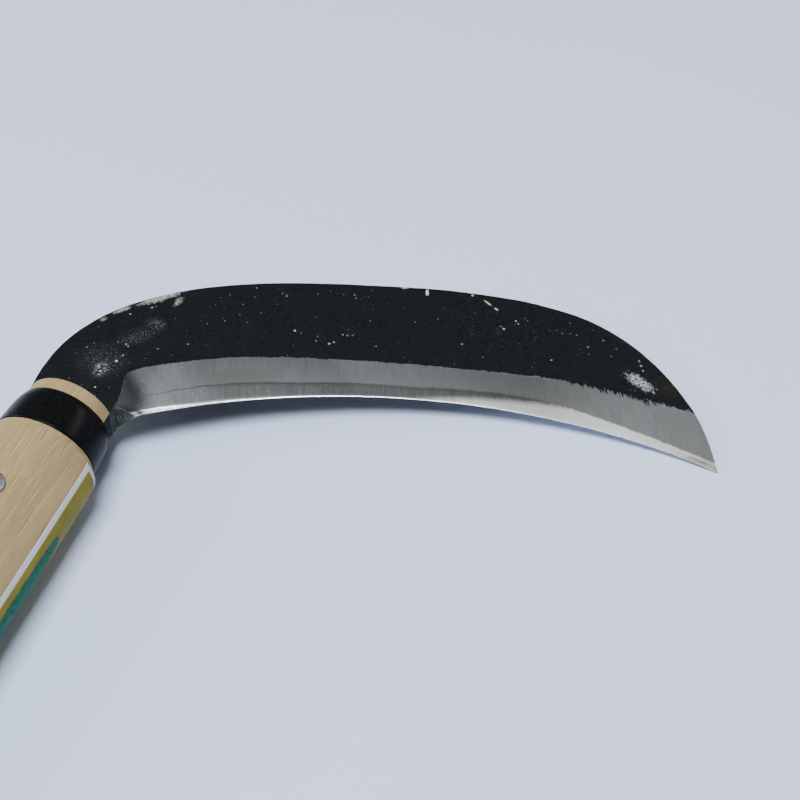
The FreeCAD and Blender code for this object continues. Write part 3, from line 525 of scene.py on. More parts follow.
def blade_material():
    m = Mat("forged_iron")
    p, q, u, v, st, fine = blade_common(m)
    # --- forge scale
    big = m.noise(p, 0.07, 3.0, 0.55)
    mid = m.noise(p, 0.5, 4.0, 0.6)
    grain = m.noise(p, 1.6, 5.0, 0.72)
    hue = m.noise(p, 0.16, 3.0, 0.6)
    black = m.mix(m.step(grain, 0.34, 0.70), (0.0026, 0.0038, 0.0047), (0.0098, 0.0125, 0.0142))
    black = m.mix(m.step(hue, 0.52, 0.66, 0.0, 0.55), black, (0.0088, 0.0088, 0.0115))
    black = m.mix(m.step(hue, 0.46, 0.34, 0.0, 0.55), black, (0.0062, 0.0108, 0.0100))
    black = m.mix(m.step(big, 0.5, 0.68, 0.0, 0.35), black, (0.0055, 0.0086, 0.0084))
    brown = m.near(p, 137.0, 88.5, 20.0, 3.2, -24.0)
    black = m.mix(m.math("MULTIPLY", m.step(brown, 1.25, 0.3), m.step(grain, 0.38, 0.62, 0.1, 0.75)), black, (0.0200, 0.0165, 0.0125))
    red = m.near(p, 157.0, 71.5, 5.6, 4.6)
    black = m.mix(m.math("MULTIPLY", m.step(red, 1.2, 0.2), m.step(mid, 0.35, 0.6, 0.2, 0.8)), black, (0.0170, 0.0118, 0.0112))
    # pin-prick specks of bare metal, crowded round a few places
    warp = m.math("MULTIPLY_ADD", m.noise(p, 0.8, 4.0, 0.7), 1.8, -0.9)
    c1 = m.step(m.near(p, 2.3, 13.6, 2.1, 2.6, 30.0), 1.5, 0.1)
    c2 = m.step(m.near(p, 8.6, 35.6, 2.6, 2.4), 1.6, 0.1, 0.0, 0.55)
    c3 = m.step(m.near(p, 6.0, 29.0, 6.0, 3.0, 50.0), 1.4, 0.1, 0.0, 0.34)
    c4 = m.step(m.near(p, 1.0, 17.0, 6.5, 6.5), 1.4, 0.1, 0.0, 0.30)
    c5 = m.step(m.near(p, 142.0, 73.0, 3.0, 3.0), 1.4, 0.1, 0.0, 0.10)
    crowd = m.math("MAXIMUM", m.math("MAXIMUM", c1, c2), m.math("MAXIMUM", m.math("MAXIMUM", c3, c4), c5))
    sparse = m.step(m.noise(p, 0.055, 2.0, 0.5), 0.42, 0.66, 0.05, 0.30)
    amount = m.math("MAXIMUM", crowd, sparse)
    v1 = m.t.nodes.new("ShaderNodeTexVoronoi")
    m.put(v1.inputs["Vector"], p)
    v1.inputs["Scale"].default_value = 0.95
    pick = m.sep(v1.outputs["Color"])
    keep = m.math("LESS_THAN", pick[0], m.math("MULTIPLY_ADD", amount, 0.62, 0.10))
    size = m.math("MULTIPLY_ADD", m.math("MULTIPLY", pick[1], pick[1]), 0.17, 0.07)
    ragged = m.math("MULTIPLY_ADD", m.noise(p, 5.0, 2.0), 0.22, -0.11)
    dot = m.math("LESS_THAN", m.math("ADD", v1.outputs["Distance"], ragged), size)
    dim = m.math("MULTIPLY_ADD", m.math("MULTIPLY", pick[2], pick[2]), 0.34, 0.07)
    speck = m.math("MULTIPLY", m.math("MULTIPLY", keep, dot), dim)
    cluster = m.math("MULTIPLY", m.step(m.noise(p, 1.7, 4.0, 0.8), 0.50, 0.62), m.math("MULTIPLY", c1, 0.80))
    dusty = m.math("MULTIPLY", m.step(m.noise(p, 2.4, 4.0, 0.8), 0.52, 0.66), m.math("MULTIPLY", m.math("MAXIMUM", c2, m.math("MAXIMUM", c3, c4)), 0.8))
    speck = m.math("MAXIMUM", speck, m.math("MAXIMUM", cluster, dusty), clamp=True)
    plan = m.comb(q[0], q[1], 0.0)
    rag = m.math("MULTIPLY_ADD", m.noise(p, 3.6, 3.0, 0.8), 1.10, -0.50)
    for fx, fy, fr, fs in FLECKS:
        dist = m.t.nodes.new("ShaderNodeVectorMath")
        dist.operation = "DISTANCE"
        m.put(dist.inputs[0], plan)
        dist.inputs[1].default_value = (fx, fy, 0.0)
        speck = m.math("MAXIMUM", speck, m.step(m.math("ADD", dist.outputs["Value"], rag), fr * 0.92, fr * 0.40, 0.0, fs * 0.85))
    # bare, pale patch where the scale has come off along the outer curve, and small
    # ones beside it
    q1 = m.math("ADD", m.near(p, 4.8, 46.2, 8.6, 1.9, 46.0), warp)
    q2 = m.math("ADD", m.near(p, -3.2, 37.4, 4.8, 1.3, 52.0), warp)
    q3 = m.math("ADD", m.near(p, 10.6, 46.8, 1.4, 2.6, -10.0), warp)
    q4 = m.math("ADD", m.near(p, -6.3, 31.8, 1.7, 1.1, 50.0), warp)
    patch = m.math("MAXIMUM", m.step(q1, 0.95, 0.45), m.math("MAXIMUM", m.step(q2, 0.85, 0.30, 0.0, 0.9), m.step(q3, 0.95, 0.25, 0.0, 0.75)))
    patch = m.math("MAXIMUM", patch, m.step(q4, 0.85, 0.25, 0.0, 0.55))
    patch = m.math("MULTIPLY", patch, m.step(m.noise(p, 2.2, 5.0, 0.85), 0.40, 0.56, 0.10, 1.0))
    # scuff near the point: granular, drawn out along the curve
    along = m.math("ADD", m.math("MULTIPLY", q[0], 0.87), m.math("MULTIPLY", q[1], -0.49))
    across = m.math("ADD", m.math("MULTIPLY", q[0], 0.49), m.math("MULTIPLY", q[1], 0.87))
    strokes = m.noise(m.comb(m.math("MULTIPLY", along, 1.5), m.math("MULTIPLY", across, 2.6), 0.0), 1.0, 4.0, 0.8)
    scuff = m.math("MULTIPLY", m.step(m.math("ADD", m.near(p, 148.3, 70.1, 6.2, 2.7, -24.0), m.math("MULTIPLY", warp, 1.5)), 1.0, 0.20), m.step(strokes, 0.47, 0.56, 0.02, 1.0))
    scr = m.noise(m.comb(m.math("MULTIPLY", along, 0.45), m.math("MULTIPLY", across, 5.0), 9.0), 1.0, 1.0)
    scr = m.math("MULTIPLY", m.step(scr, 0.70, 0.76), m.step(m.near(p, 99.0, 75.0, 17.0, 12.0), 1.3, 0.4, 0.05, 0.5))
    line1 = m.step(m.math("ADD", m.near(p, 97.2, 84.7, 1.9, 0.50, -28.0), m.math("MULTIPLY", warp, 0.8)), 1.0, 0.30, 0.0, 0.7)
    line2 = m.step(m.math("ADD", m.near(p, 100.4, 83.1, 1.1, 0.45, -28.0), m.math("MULTIPLY", warp, 0.8)), 1.0, 0.30, 0.0, 0.7)
    pale = m.math("MAXIMUM", m.math("MULTIPLY", scuff, 0.98), m.math("MULTIPLY", scr, 0.35))
    pale = m.math("MAXIMUM", pale, m.math("MAXIMUM", line1, line2))
    # chips on the outer corner and the long worn place by the point
    chip = m.math("MAXIMUM", m.step(m.math("ADD", m.near(p, 78.4, 81.6, 0.7, 1.8, 15.0), warp), 0.9, 0.3, 0.0, 1.0),
                  m.step(m.math("ADD", m.near(p, 71.2, 80.9, 1.9, 0.8, 20.0), warp), 0.8, 0.3, 0.0, 0.55))
    worn = m.step(m.math("ADD", m.near(p, 157.6, 77.2, 5.6, 0.9, -48.0), warp), 0.95, 0.25, 0.0, 0.45)
    pale = m.math("MAXIMUM", pale, m.math("MAXIMUM", chip, worn))
    scale_col = m.mix(speck, black, (0.60, 0.62, 0.60))
    scale_col = m.mix(m.math("MULTIPLY", patch, 0.95), scale_col, m.mix(m.step(m.noise(p, 1.9, 3.0, 0.7), 0.36, 0.62), (0.22, 0.215, 0.165), (0.60, 0.595, 0.53)))
    scale_col = m.mix(pale, scale_col, (0.66, 0.66, 0.655))
    # --- ground iron of the bevel, running into the steel's tone
    metal = ground_metal(m, p, q, u, v, st, fine, m.math("MULTIPLY", m.attr("aux"), -1.0))
    # --- where the grinding ends: crisp but ragged, toothed near the point
    teeth = m.noise(m.comb(m.math("MULTIPLY", u, 1.5), m.math("MULTIPLY", v, 0.26), 7.0), 1.0, 4.0, 0.8)
    where = m.math("MULTIPLY", m.step(q[0], 116.0, 134.0), m.step(q[0], 160.0, 152.0))
    tall = m.math("MULTIPLY_ADD", where, 0.62, 0.24)
    b = m.math("ADD", m.attr("bev"), m.math("MULTIPLY", m.math("SUBTRACT", teeth, 0.52), tall))
    b = m.math("ADD", b, m.math("MULTIPLY_ADD", m.noise(p, 2.6, 3.0, 0.65), 0.10, -0.05))
    ground = m.step(b, -0.004, 0.012)
    col = m.mix(ground, scale_col, metal)
    # the chin, dark with the grinder's slanting marks, and its pale upper arris
    on_chin, chin_c, arris = chin(m, p)
    col = m.mix(arris, col, (0.30, 0.30, 0.27))
    col = m.mix(on_chin, col, chin_c)
    m.set("Base Color", col)
    bare = m.math("MAXIMUM", ground, m.math("MULTIPLY", pale, 0.15))
    m.set("Metallic", m.math("MULTIPLY", m.math("MULTIPLY", bare, 0.92), m.math("SUBTRACT", 1.0, m.math("MULTIPLY", on_chin, 0.7))))
    r_scale = m.math("MULTIPLY_ADD", mid, 0.22, 0.42)
    r_iron = m.math("ADD", m.math("MULTIPLY_ADD", st, 0.10, 0.27), m.math("ADD", m.step(q[0], 27.0, 17.0, 0.0, 0.12), m.step(q[0], 115.0, 150.0, 0.0, 0.11)))
    rough = m.math("ADD", m.math("MULTIPLY", r_scale, m.math("SUBTRACT", 1.0, ground)), m.math("MULTIPLY", r_iron, ground))
    m.set("Roughness", m.math("MAXIMUM", rough, m.math("MULTIPLY", patch, 0.75)))
    m.bsdf.inputs["Specular IOR Level"].default_value = 0.08
    # relief: scale is pitted and grainy, the bevel carries the fine strokes
    pits = m.step(m.voronoi(p, 0.75), 0.02, 0.30, 0.0, 1.0)
    h_scale = m.math("ADD", m.math("MULTIPLY", grain, 0.75), m.math("MULTIPLY", pits, 0.18))
    h_scale = m.math("ADD", h_scale, m.math("MULTIPLY", patch, -0.35))
    h_iron = m.math("ADD", m.math("MULTIPLY", st, 0.08), m.math("MULTIPLY", fine, 0.04))
    h = m.math("ADD", m.math("MULTIPLY", h_scale, m.math("SUBTRACT", 1.0, ground)), m.math("MULTIPLY", h_iron, ground))
    m.set("Normal", m.bump(h, 0.00012, 0.85))
    return m.m


def steel_material():
    m = Mat("edge_steel_ground")
    p, q, u, v, st, fine = blade_common(m)
    d = m.attr("ed")
    base = ground_metal(m, p, q, u, v, st, fine, m.attr("aux"))
    # honed line along the edge, widest at the heel
    hone = m.step(m.math("SUBTRACT", d, m.attr("bev")), 0.10, -0.02)
    honed = m.mix(m.step(m.noise(p, 1.0, 3.0, 0.7), 0.36, 0.54), (0.50, 0.49, 0.45), (0.93, 0.92, 0.87))
    fold = m.step(m.near(p, 17.5, 6.0, 1.2, 0.45, 20.0), 1.2, 0.3, 0.0, 0.85)
    honed = m.mix(fold, honed, (0.10, 0.095, 0.080))
    base = m.mix(hone, base, honed)
    on, chin_c, arris = chin(m, p)
    base = m.mix(arris, base, (0.45, 0.45, 0.42))
    base = m.mix(on, base, chin_c)
    m.set("Base Color", base)
    m.set("Metallic", m.math("MULTIPLY_ADD", on, -0.75, 0.92))
    m.set("Roughness", m.math("ADD", m.math("MULTIPLY_ADD", st, 0.10, 0.27), m.math("ADD", m.step(q[0], 27.0, 17.0, 0.0, 0.12), m.step(q[0], 115.0, 150.0, 0.0, 0.11))))
    h = m.math("ADD", m.math("MULTIPLY", st, 0.08), m.math("MULTIPLY", fine, 0.04))
    m.set("Normal", m.bump(h, 0.00010, 0.7))
    return m.m


def wood_material():
    m = Mat("oak")
    p = m.loc()
    q = m.sep(p)
    # the billet's growth rings, cut a little off the quarter and wandering along it
    bend = m.noise(m.comb(m.math("MULTIPLY", q[0], 0.055), m.math("MULTIPLY", q[1], 0.011), m.math("MULTIPLY", q[2], 0.055)), 1.0, 2.0, 0.5)
    bend2 = m.noise(m.comb(m.math("MULTIPLY", q[0], 0.22), m.math("MULTIPLY", q[1], 0.045), m.math("MULTIPLY", q[2], 0.22)), 1.0, 2.0, 0.5)
    ring = m.math("ADD", m.math("MULTIPLY", q[0], 0.40), m.math("MULTIPLY", q[2], 0.10))
    ring = m.math("ADD", ring, m.math("ADD", m.math("MULTIPLY", bend, 3.4), m.math("MULTIPLY", bend2, 1.15)))
    ring = m.math("ADD", ring, m.math("MULTIPLY", q[1], 0.010))
    ph = m.math("FRACT", ring)
    late = m.math("MULTIPLY", m.step(ph, 0.0, 0.60), m.step(ph, 1.0, 0.93))
    early = m.math("SUBTRACT", 1.0, m.step(ph, 0.0, 0.22))
    fibre = m.noise(m.comb(m.math("MULTIPLY", q[0], 2.6), m.math("MULTIPLY", q[1], 0.10), m.math("MULTIPLY", q[2], 2.6)), 1.0, 4.0, 0.6)
    hair = m.noise(m.comb(m.math("MULTIPLY", q[0], 9.0), m.math("MULTIPLY", q[1], 0.40), m.math("MULTIPLY", q[2], 9.0)), 1.0, 2.0, 0.6)
    tone = m.noise(m.comb(m.math("MULTIPLY", q[0], 0.12), m.math("MULTIPLY", q[1], 0.02), m.math("MULTIPLY", q[2], 0.12)), 1.0, 2.0, 0.5)
    col = m.mix(m.step(fibre, 0.30, 0.72), (0.272, 0.190, 0.088), (0.425, 0.322, 0.170))
    col = m.mix(m.math("MULTIPLY", late, 0.50), col, (0.250, 0.168, 0.066))
    col = m.mix(m.step(tone, 0.40, 0.68, 0.0, 0.35), col, (0.455, 0.335, 0.165))
    # the early wood of each ring is a row of open pores that reads as a thin dark line
    pv = m.comb(m.math("MULTIPLY", q[0], 4.6), m.math("MULTIPLY", q[1], 0.16), m.math("MULTIPLY", q[2], 4.6))
    pore_n = m.noise(pv, 1.0, 1.0, 0.5)
    row = m.math("MULTIPLY", m.step(ph, 0.13, 0.03), m.step(ph, 0.0, 0.02))
    row = m.math("MULTIPLY", row, m.step(m.noise(m.comb(m.math("MULTIPLY", q[0], 1.1), m.math("MULTIPLY", q[1], 0.05), m.math("MULTIPLY", q[2], 1.1)), 1.0, 2.0, 0.6), 0.36, 0.58, 0.15, 1.0))
    pore = m.math("MULTIPLY", m.step(pore_n, 0.60, 0.70), m.math("MULTIPLY_ADD", early, 0.65, 0.12))
    pore = m.math("MAXIMUM", pore, m.math("MULTIPLY", row, 0.95))
    col = m.mix(m.math("MULTIPLY", pore, 0.72), col, (0.140, 0.086, 0.034))
    col = m.mix(m.step(hair, 0.56, 0.74, 0.0, 0.20), col, (0.62, 0.50, 0.33))
    # pale ray flecks
    ray = m.noise(m.comb(m.math("MULTIPLY", q[0], 0.9), m.math("MULTIPLY", q[1], 0.30), m.math("MULTIPLY", q[2], 2.2)), 1.0, 2.0, 0.6)
    col = m.mix(m.step(ray, 0.62, 0.72, 0.0, 0.22), col, (0.60, 0.47, 0.29))
    m.set("Base Color", col)
    m.set("Roughness", m.math("MULTIPLY_ADD", fibre, 0.16, 0.50))
    m.bsdf.inputs["Specular IOR Level"].default_value = 0.35
    h = m.math("SUBTRACT", m.math("MULTIPLY", fibre, 0.55), m.math("MULTIPLY", pore, 0.9))
    h = m.math("ADD", h, m.math("MULTIPLY", hair, 0.20))
    m.set("Normal", m.bump(h, 0.00006, 0.8))
    return m.m


def ferrule_material():
    m = Mat("ferrule_moulded")
    p = m.loc()
    q = m.sep(p)
    n1 = m.noise(p, 0.9, 3.0, 0.6)
    rub = m.noise(m.comb(m.math("MULTIPLY", m.math("ARCTAN2", q[2], q[0]), 16.0), m.math("MULTIPLY", q[1], 2.2), 0.0), 1.0, 3.0, 0.6)
    m.set("Base Color", m.mix(m.step(n1, 0.3, 0.7), (0.0032, 0.0034, 0.0040), (0.0056, 0.0060, 0.0069)))
    m.set("Roughness", m.math("MULTIPLY_ADD", rub, 0.12, 0.22))
    m.bsdf.inputs["Specular IOR Level"].default_value = 0.07
    orange = m.noise(p, 0.55, 2.0, 0.5)
    dust = m.noise(p, 7.0, 2.0, 0.6)
    m.set("Normal", m.bump(m.math("ADD", orange, m.math("MULTIPLY", dust, 0.08)), 0.00005, 0.6))
    return m.m


def rivet_material():
    m = Mat("rivet_plated")
    p = m.loc()
    n = m.noise(p, 1.4, 4.0, 0.6)
    fine = m.noise(p, 9.0, 2.0, 0.6)
    m.set("Base Color", m.mix(m.step(n, 0.3, 0.7), (0.33, 0.37, 0.41), (0.50, 0.545, 0.59)))
    m.bsdf.inputs["Metallic"].default_value = 0.9
    m.set("Roughness", m.math("MULTIPLY_ADD", fine, 0.18, 0.30))
    m.set("Normal", m.bump(m.math("ADD", n, m.math("MULTIPLY", fine, 0.3)), 0.00008, 0.7))
    return m.m


def label_material():
    """Paper with a plain white border, an olive-gold ground and a generic green blade of
    grass.  es runs down the label, ed runs round it from its upper edge, both in mm."""
    m = Mat("label_paper")
    p = m.loc()
    s, d = m.attr("es"), m.attr("ed")
    width, length = LABEL_AROUND, LABEL_LONG
    edge = m.math("MINIMUM", m.math("MINIMUM", d, m.math("SUBTRACT", width, d)),
                  m.math("MINIMUM", m.math("MULTIPLY", s, 1.0), m.math("SUBTRACT", length, s)))
    fibre = m.noise(p, 4.0, 3.0, 0.6)
    gold = m.mix(m.step(m.noise(p, 0.10, 2.0), 0.35, 0.65), (0.170, 0.138, 0.016), (0.225, 0.184, 0.024))
    gold = m.mix(m.step(fibre, 0.4, 0.7, 0.0, 0.25), gold, (0.27, 0.225, 0.045))
    white = m.mix(m.step(fibre, 0.3, 0.7), (0.47, 0.48, 0.50), (0.57, 0.58, 0.60))
    # three long leaves growing up the label from its foot
    def leaf(mid, lean, s_tip, half, curve):
        t = m.math("SUBTRACT", s, s_tip)
        tt = m.math("MULTIPLY", t, 1.0 / (length - s_tip))
        bow = m.math("MULTIPLY", m.math("SINE", m.math("MULTIPLY", tt, 3.1)), curve)
        c = m.math("ADD", m.math("MULTIPLY_ADD", tt, lean, mid), bow)
        off = m.math("SUBTRACT", d, c)
        grow = m.math("POWER", m.math("MAXIMUM", tt, 0.0), 0.34)
        wd = m.math("MULTIPLY", grow, half)
        ragg = m.math("MULTIPLY_ADD", m.noise(m.comb(m.math("MULTIPLY", s, 0.45), m.math("MULTIPLY", d, 0.9), 0.0), 1.0, 3.0, 0.6), 1.3, -0.65)
        return m.math("ADD", m.math("SUBTRACT", m.math("ADD", m.math("ABSOLUTE", off), ragg), wd), m.step(tt, 0.004, -0.004, 0.0, 9.0)), off
    la, oa = leaf(6.0, 2.8, 20.6, 4.6, 0.3)
    lb, ob = leaf(13.5, -1.5, 30.0, 3.4, -1.0)
    lc, oc = leaf(22.0, -3.0, 14.0, 3.6, 1.2)
    f = m.math("MINIMUM", la, m.math("MINIMUM", lb, lc))
    green = m.step(f, 0.10, -0.10)
    veins = m.noise(m.comb(m.math("MULTIPLY", m.math("ADD", s, m.math("MULTIPLY", d, 1.6)), 0.55), m.math("MULTIPLY", m.math("SUBTRACT", d, m.math("MULTIPLY", s, 0.06)), 2.6), 0.0), 1.0, 3.0, 0.65)
    gcol = m.mix(m.step(veins, 0.38, 0.60), (0.001, 0.036, 0.024), (0.001, 0.155, 0.095))
    col = m.mix(green, gold, gcol)
    rim = m.math("MULTIPLY", m.step(m.math("ABSOLUTE", m.math("SUBTRACT", f, 0.15)), 0.30, 0.12), m.step(veins, 0.36, 0.52, 0.2, 1.0))
    col = m.mix(m.math("MULTIPLY", rim, 0.85), col, (0.012, 0.030, 0.026))
    inside = m.step(edge, 1.46, 1.58)
    col = m.mix(inside, white, col)
    m.set("Base Color", col)
    m.set("Roughness", m.math("MULTIPLY_ADD", fibre, 0.12, 0.46))
    m.bsdf.inputs["Specular IOR Level"].default_value = 0.10
    m.set("Normal", m.bump(m.noise(p, 1.5, 3.0, 0.6), 0.00003, 0.6))
    return m.m


# ----------------------------------------------------------------- blade geometry
def make_blade():
    spine, edge = Path(SPINE), Path(EDGE)
    n = len(GRIND)
    frac = np.array([0.0, 0.010, 0.022, 0.036, 0.055] + [0.055 + 0.945 * (i - 4) / (n - 5.0) for i in range(5, n)])
    outer = edge.at(frac * edge.long)
    par = np.concatenate([[0], np.cumsum(np.maximum(np.hypot(*np.diff(outer, axis=0).T), 1.0))])
    fin, fout = natural(par, GRIND), natural(par, frac)
    # stations: close and even along the grind limit
    tt = np.linspace(0, par[-1], 6001)
    pin = fin(tt)
    run = np.concatenate([[0], np.cumsum(np.hypot(*np.diff(pin, axis=0).T))])
    M = 430
    st = np.interp(np.linspace(0, run[-1], M), run, tt)
    I = fin(st)
    E = edge.at(np.clip(fout(st)[:, 0], 0, 1) * edge.long)
    I[0], E[0] = GRIND[0], EDGE[0]
    I[-1], E[-1] = GRIND[-1], EDGE[-1]
    tG = spine.nearest(GRIND[-1])
    I[-1] = spine.at(tG)[0]
    gr_long = np.concatenate([[0], np.cumsum(np.hypot(*np.diff(I, axis=0).T))])
    pairs = [((12, 2.4), (-12.8, 3.2)), ((10.4, 10.6), (-12.6, 18.5)), ((9.7, 14.6), (-9.5, 28.5)),
             ((12.2, 18.1), (-3.5, 38.7)), ((18.9, 23.1), (8.0, 50.2)), ((35.3, 32.9), (28, 63.3)),
             ((61.8, 44), (57.5, 76.4)), ((98.8, 55.2), (97.5, 88.3)), ((136.3, 62.7), (137.5, 87.2)),
             ((155.4, 63.8), (156.5, 74.9))]
    xs = [gr_long[np.argmin(((I - np.array(a)) ** 2).sum(1))] for a, b in pairs] + [gr_long[-1]]
    ys = [spine.nearest(b) for a, b in pairs] + [tG]
    xs[0] = 0.0
    O = spine.at(pchip(xs, ys)(gr_long))
    O[-1] = I[-1]
    # outline of the neck and tang before the chin
    ny = np.array([-82, -72, -60, -48, -36, -26, -18, -12, -8, -5, -3, -1.5, -0.7, 0, 0.4, 0.8, 1.2, 1.6, 2.0])
    f = np.clip(-ny, 0, 82) / 82.0
    nI = np.stack([12.0 + f * (5.5 - 12.0), ny], 1)
    y0 = spine.at(0.0)[0]
    tK = ys[0]
    nO = np.stack([-12.4 + f * (-5.5 + 12.4), ny], 1)
    for i, y in enumerate(ny):
        if y > 0:
            nO[i] = spine.at(tK * y / 2.4)[0]
    nn_ = len(ny)
    AI, AO = np.concatenate([nI, I]), np.concatenate([nO, O])
    NA = len(AI)
    # forged outline is never quite true
    wob = 0.10 * noise2(AO[:, 0], AO[:, 1], 7.0, 1.0) + 0.05 * noise2(AO[:, 0], AO[:, 1], 2.0, 2.0)
    dirs = AO - AI
    wid = np.hypot(*dirs.T)
    unit = dirs / np.maximum(wid, 1e-6)[:, None]
    fade = np.clip(wid / 8.0, 0, 1) * np.clip((AO[:, 1] + 4) / 6.0, 0, 1)
    AO = AO + unit * (wob * fade)[:, None]
    wid = np.hypot(*(AO - AI).T)

    mm = [0, .12, .24, .36, .5, .65, .8, 1.0, 1.2, 1.45, 1.75, 2.1, 2.5, 3.0, 3.55, 4.15]
    while mm[-1] < 39.0:
        mm.append(mm[-1] + 0.62)
    fr = np.array(mm) / (mm[-1] + 0.62)
    fr = np.concatenate([fr, [1.0]])
    rad = np.minimum(0.38, 0.10 * wid)
    NV = len(fr)
    inset = wid - rad
    # grind slope at each station, for the flat's own side of the limit
    half_g = thick(I[:, 0], I[:, 1])
    W = np.hypot(*(E - I).T)
    ex = E[:, 0]
    he = np.interp(ex, [16.6, 24, 31, 45, 90, 175.6], [.42, .36, .20, .10, .07, .05])
    mb = np.interp(ex, [16.6, 19.0, 22.5, 26, 29, 33, 45, 90, 140, 175.6], [1.30, 1.20, 1.00, .70, .42, .30, .22, .20, .20, .18])
    mb = mb * (1 + 0.30 * noise2(ex, ex * 0, 2.6, 5.0))
    mb = np.minimum(mb, 0.22 * W)
    e0 = 0.045
    tang = np.gradient(I, axis=0)
    tang /= np.hypot(*tang.T)[:, None]
    nrm = np.stack([-tang[:, 1], tang[:, 0]], 1)
    mid_dir = (O - I)
    mid_dir[-1] = mid_dir[-2]
    sg = np.sign((nrm * mid_dir).sum(1))
    nrm *= sg[:, None]
    wperp = np.abs((nrm * (E - I)).sum(1))
    slope = (half_g - he) / np.maximum(wperp, 1.0)

    def relief(x, y):
        """Height of the forge scale over the true face."""
        r = 0.055 * noise2(x, y, 11.0, 3.0) + 0.050 * noise2(x, y, 3.4, 4.0)
        r += 0.050 * noise2(x, y, 1.15, 6.0) + 0.030 * noise2(x, y, 0.55, 8.0)
        return r - 0.012

    def top_A(side):
        P = AI[:, None, :] + unit[:, None, :] * (inset[:, None] * fr[None, :])[..., None]
        x, y = P[..., 0], P[..., 1]
        sd = 40.0 * side
        z = thick(x, y) + relief(x, y + sd) * np.clip((y + 2.0) / 2.5, 0, 1)
        bev = np.full(z.shape, -0.5)
        d = ((P[nn_:] - I[:, None, :]) * nrm[:, None, :]).sum(-1)
        bz = half_g[:, None] + slope[:, None] * d
        zf = z[nn_:]
        bev[nn_:] = np.clip(zf - bz, -0.5, 0.5)
        z[nn_:] = np.minimum(zf, bz)
        return P, z, bev, d

    B = Build()
    NW = 4
    FR = 3
    fL = np.array([0, .012, .024, .036, .05, .065, .08, .10, .12, .145, .175, .21, .26, .32, .39, .46, .54, .62, .70, .80, .90, 1.0])
    SB = 18
    NB1 = len(fL) - 1

    def bevel_z(v, x):
        """Height on the ruling, v from 0 at the limit to 1 at the edge."""
        zm = half_g[:, None] * (1 - v) + he[:, None] * v
        dist = (1 - v) * W[:, None]
        hone_top = half_g[:, None] * (mb / W)[:, None] + he[:, None] * (1 - mb / W)[:, None]
        zh = e0 + (hone_top - e0) * np.clip(dist / np.maximum(mb[:, None], 1e-3), 0, 1)
        return np.where(dist < mb[:, None], zh, zm)

    # the weld line, where the bevel meets the steel core
    vL = np.full(M, 0.5)
    for _ in range(60):
        xx = I[:, 0] * (1 - vL) + E[:, 0] * vL
        vL = (half_g - core(xx)) / np.maximum(half_g - he, 1e-6)
        vL = np.clip(vL, 0.15, 0.93)
    vL = vL + 0.32 * noise2(I[:, 0], I[:, 1], 5.0, 11.0) / W + 0.14 * noise2(I[:, 0], I[:, 1], 1.6, 12.0) / W
    tip_fix = np.clip((np.arange(M) - (M - 46.0)) / 45.0, 0, 1) ** 2
    sp_line = lambda v: spine.at(tG + (spine.long - tG) * v)

    def plan_B(v):
        P = I[:, None, :] * (1 - v)[..., None] + E[:, None, :] * v[..., None]
        last = v[-1]
        corr = sp_line(last) - (I[-1] * (1 - last)[:, None] + E[-1] * last[:, None])
        return P + tip_fix[:, None, None] * corr[None]

    v1 = vL[:, None] * fL[None, :]
    P1 = plan_B(v1)
    vm = 1 - mb / W
    f2 = np.array([0, .06, .14, .26, .40, .55, .70, .85, 1.0])
    v2 = np.concatenate([vL[:, None] + (vm - vL)[:, None] * f2[None, :],
                         vm[:, None] + (1 - vm)[:, None] * np.array([.35, .7, 1.0])[None, :]], 1)
    P2 = plan_B(v2)
    elong = np.concatenate([[0], np.cumsum(np.hypot(*np.diff(E, axis=0).T))])
    cz = bevel_z(vL[:, None], None)[:, 0]

    ids = {}
    for side in (0, 1):
        sgn = 1 - 2 * side
        P, z, bev, d = top_A(side)
        es = np.zeros(z.shape)
        ed = np.zeros(z.shape)
        es[nn_:] = elong[:, None]
        ed[nn_:] = W[:, None] + d
        ex4 = np.stack([bev, es, ed, np.full(z.shape, 9.0)], -1)
        A = B.add(np.stack([P[..., 0], P[..., 1], sgn * z], -1), ex4)
        B.grid(A, flip=side == 1)
        # arris of the outer curve
        rr, rz = [], []
        zc = z[:, -1]
        for k in range(1, FR + 1):
            a = math.pi / 2 * k / FR
            q = AI + unit * (inset + rad * math.sin(a))[:, None]
            rr.append(np.stack([q[:, 0], q[:, 1], sgn * (zc - rad * (1 - math.cos(a)))], -1))
        R = B.add(np.stack(rr, 1), np.array([-0.5, 0, 20.0, 9.0]))
        B.grid(np.concatenate([A[:, -1:], R], 1), flip=side == 1)
        # bevel, iron part
        x, y = P1[..., 0], P1[..., 1]
        bz = bevel_z(v1, x)
        zf = thick(x, y) + relief(x, y + 40.0 * side)
        zz = np.minimum(zf, bz)
        # matches the flat at the limit itself
        zz[:, 0] = z[nn_:, 0]
        bev1 = np.clip(zf - bz, -0.5, 0.5)
        bev1[:, 0] = bev[nn_:, 0]
        ed1 = (1 - v1) * W[:, None]
        aux1 = (vL[:, None] - v1) * W[:, None]
        B1 = B.add(np.stack([x, y, sgn * zz], -1), np.stack([bev1, np.broadcast_to(elong[:, None], x.shape), ed1, aux1], -1))
        B.grid(B1, flip=side == 0)
        # socket that the steel is welded into
        S = B.add(np.stack([x[:, SB:], y[:, SB:], np.broadcast_to(sgn * cz[:, None], x[:, SB:].shape)], -1), np.array([0.5, 0, 5.0, 0.0]))
        S[:, -1] = B1[:, -1]
        B.grid(S, flip=side == 1)
        ids[side] = dict(A=A, R=R, B1=B1, S=S, z=z, zz=zz, x=x, y=y)
    u, l = ids[0], ids[1]
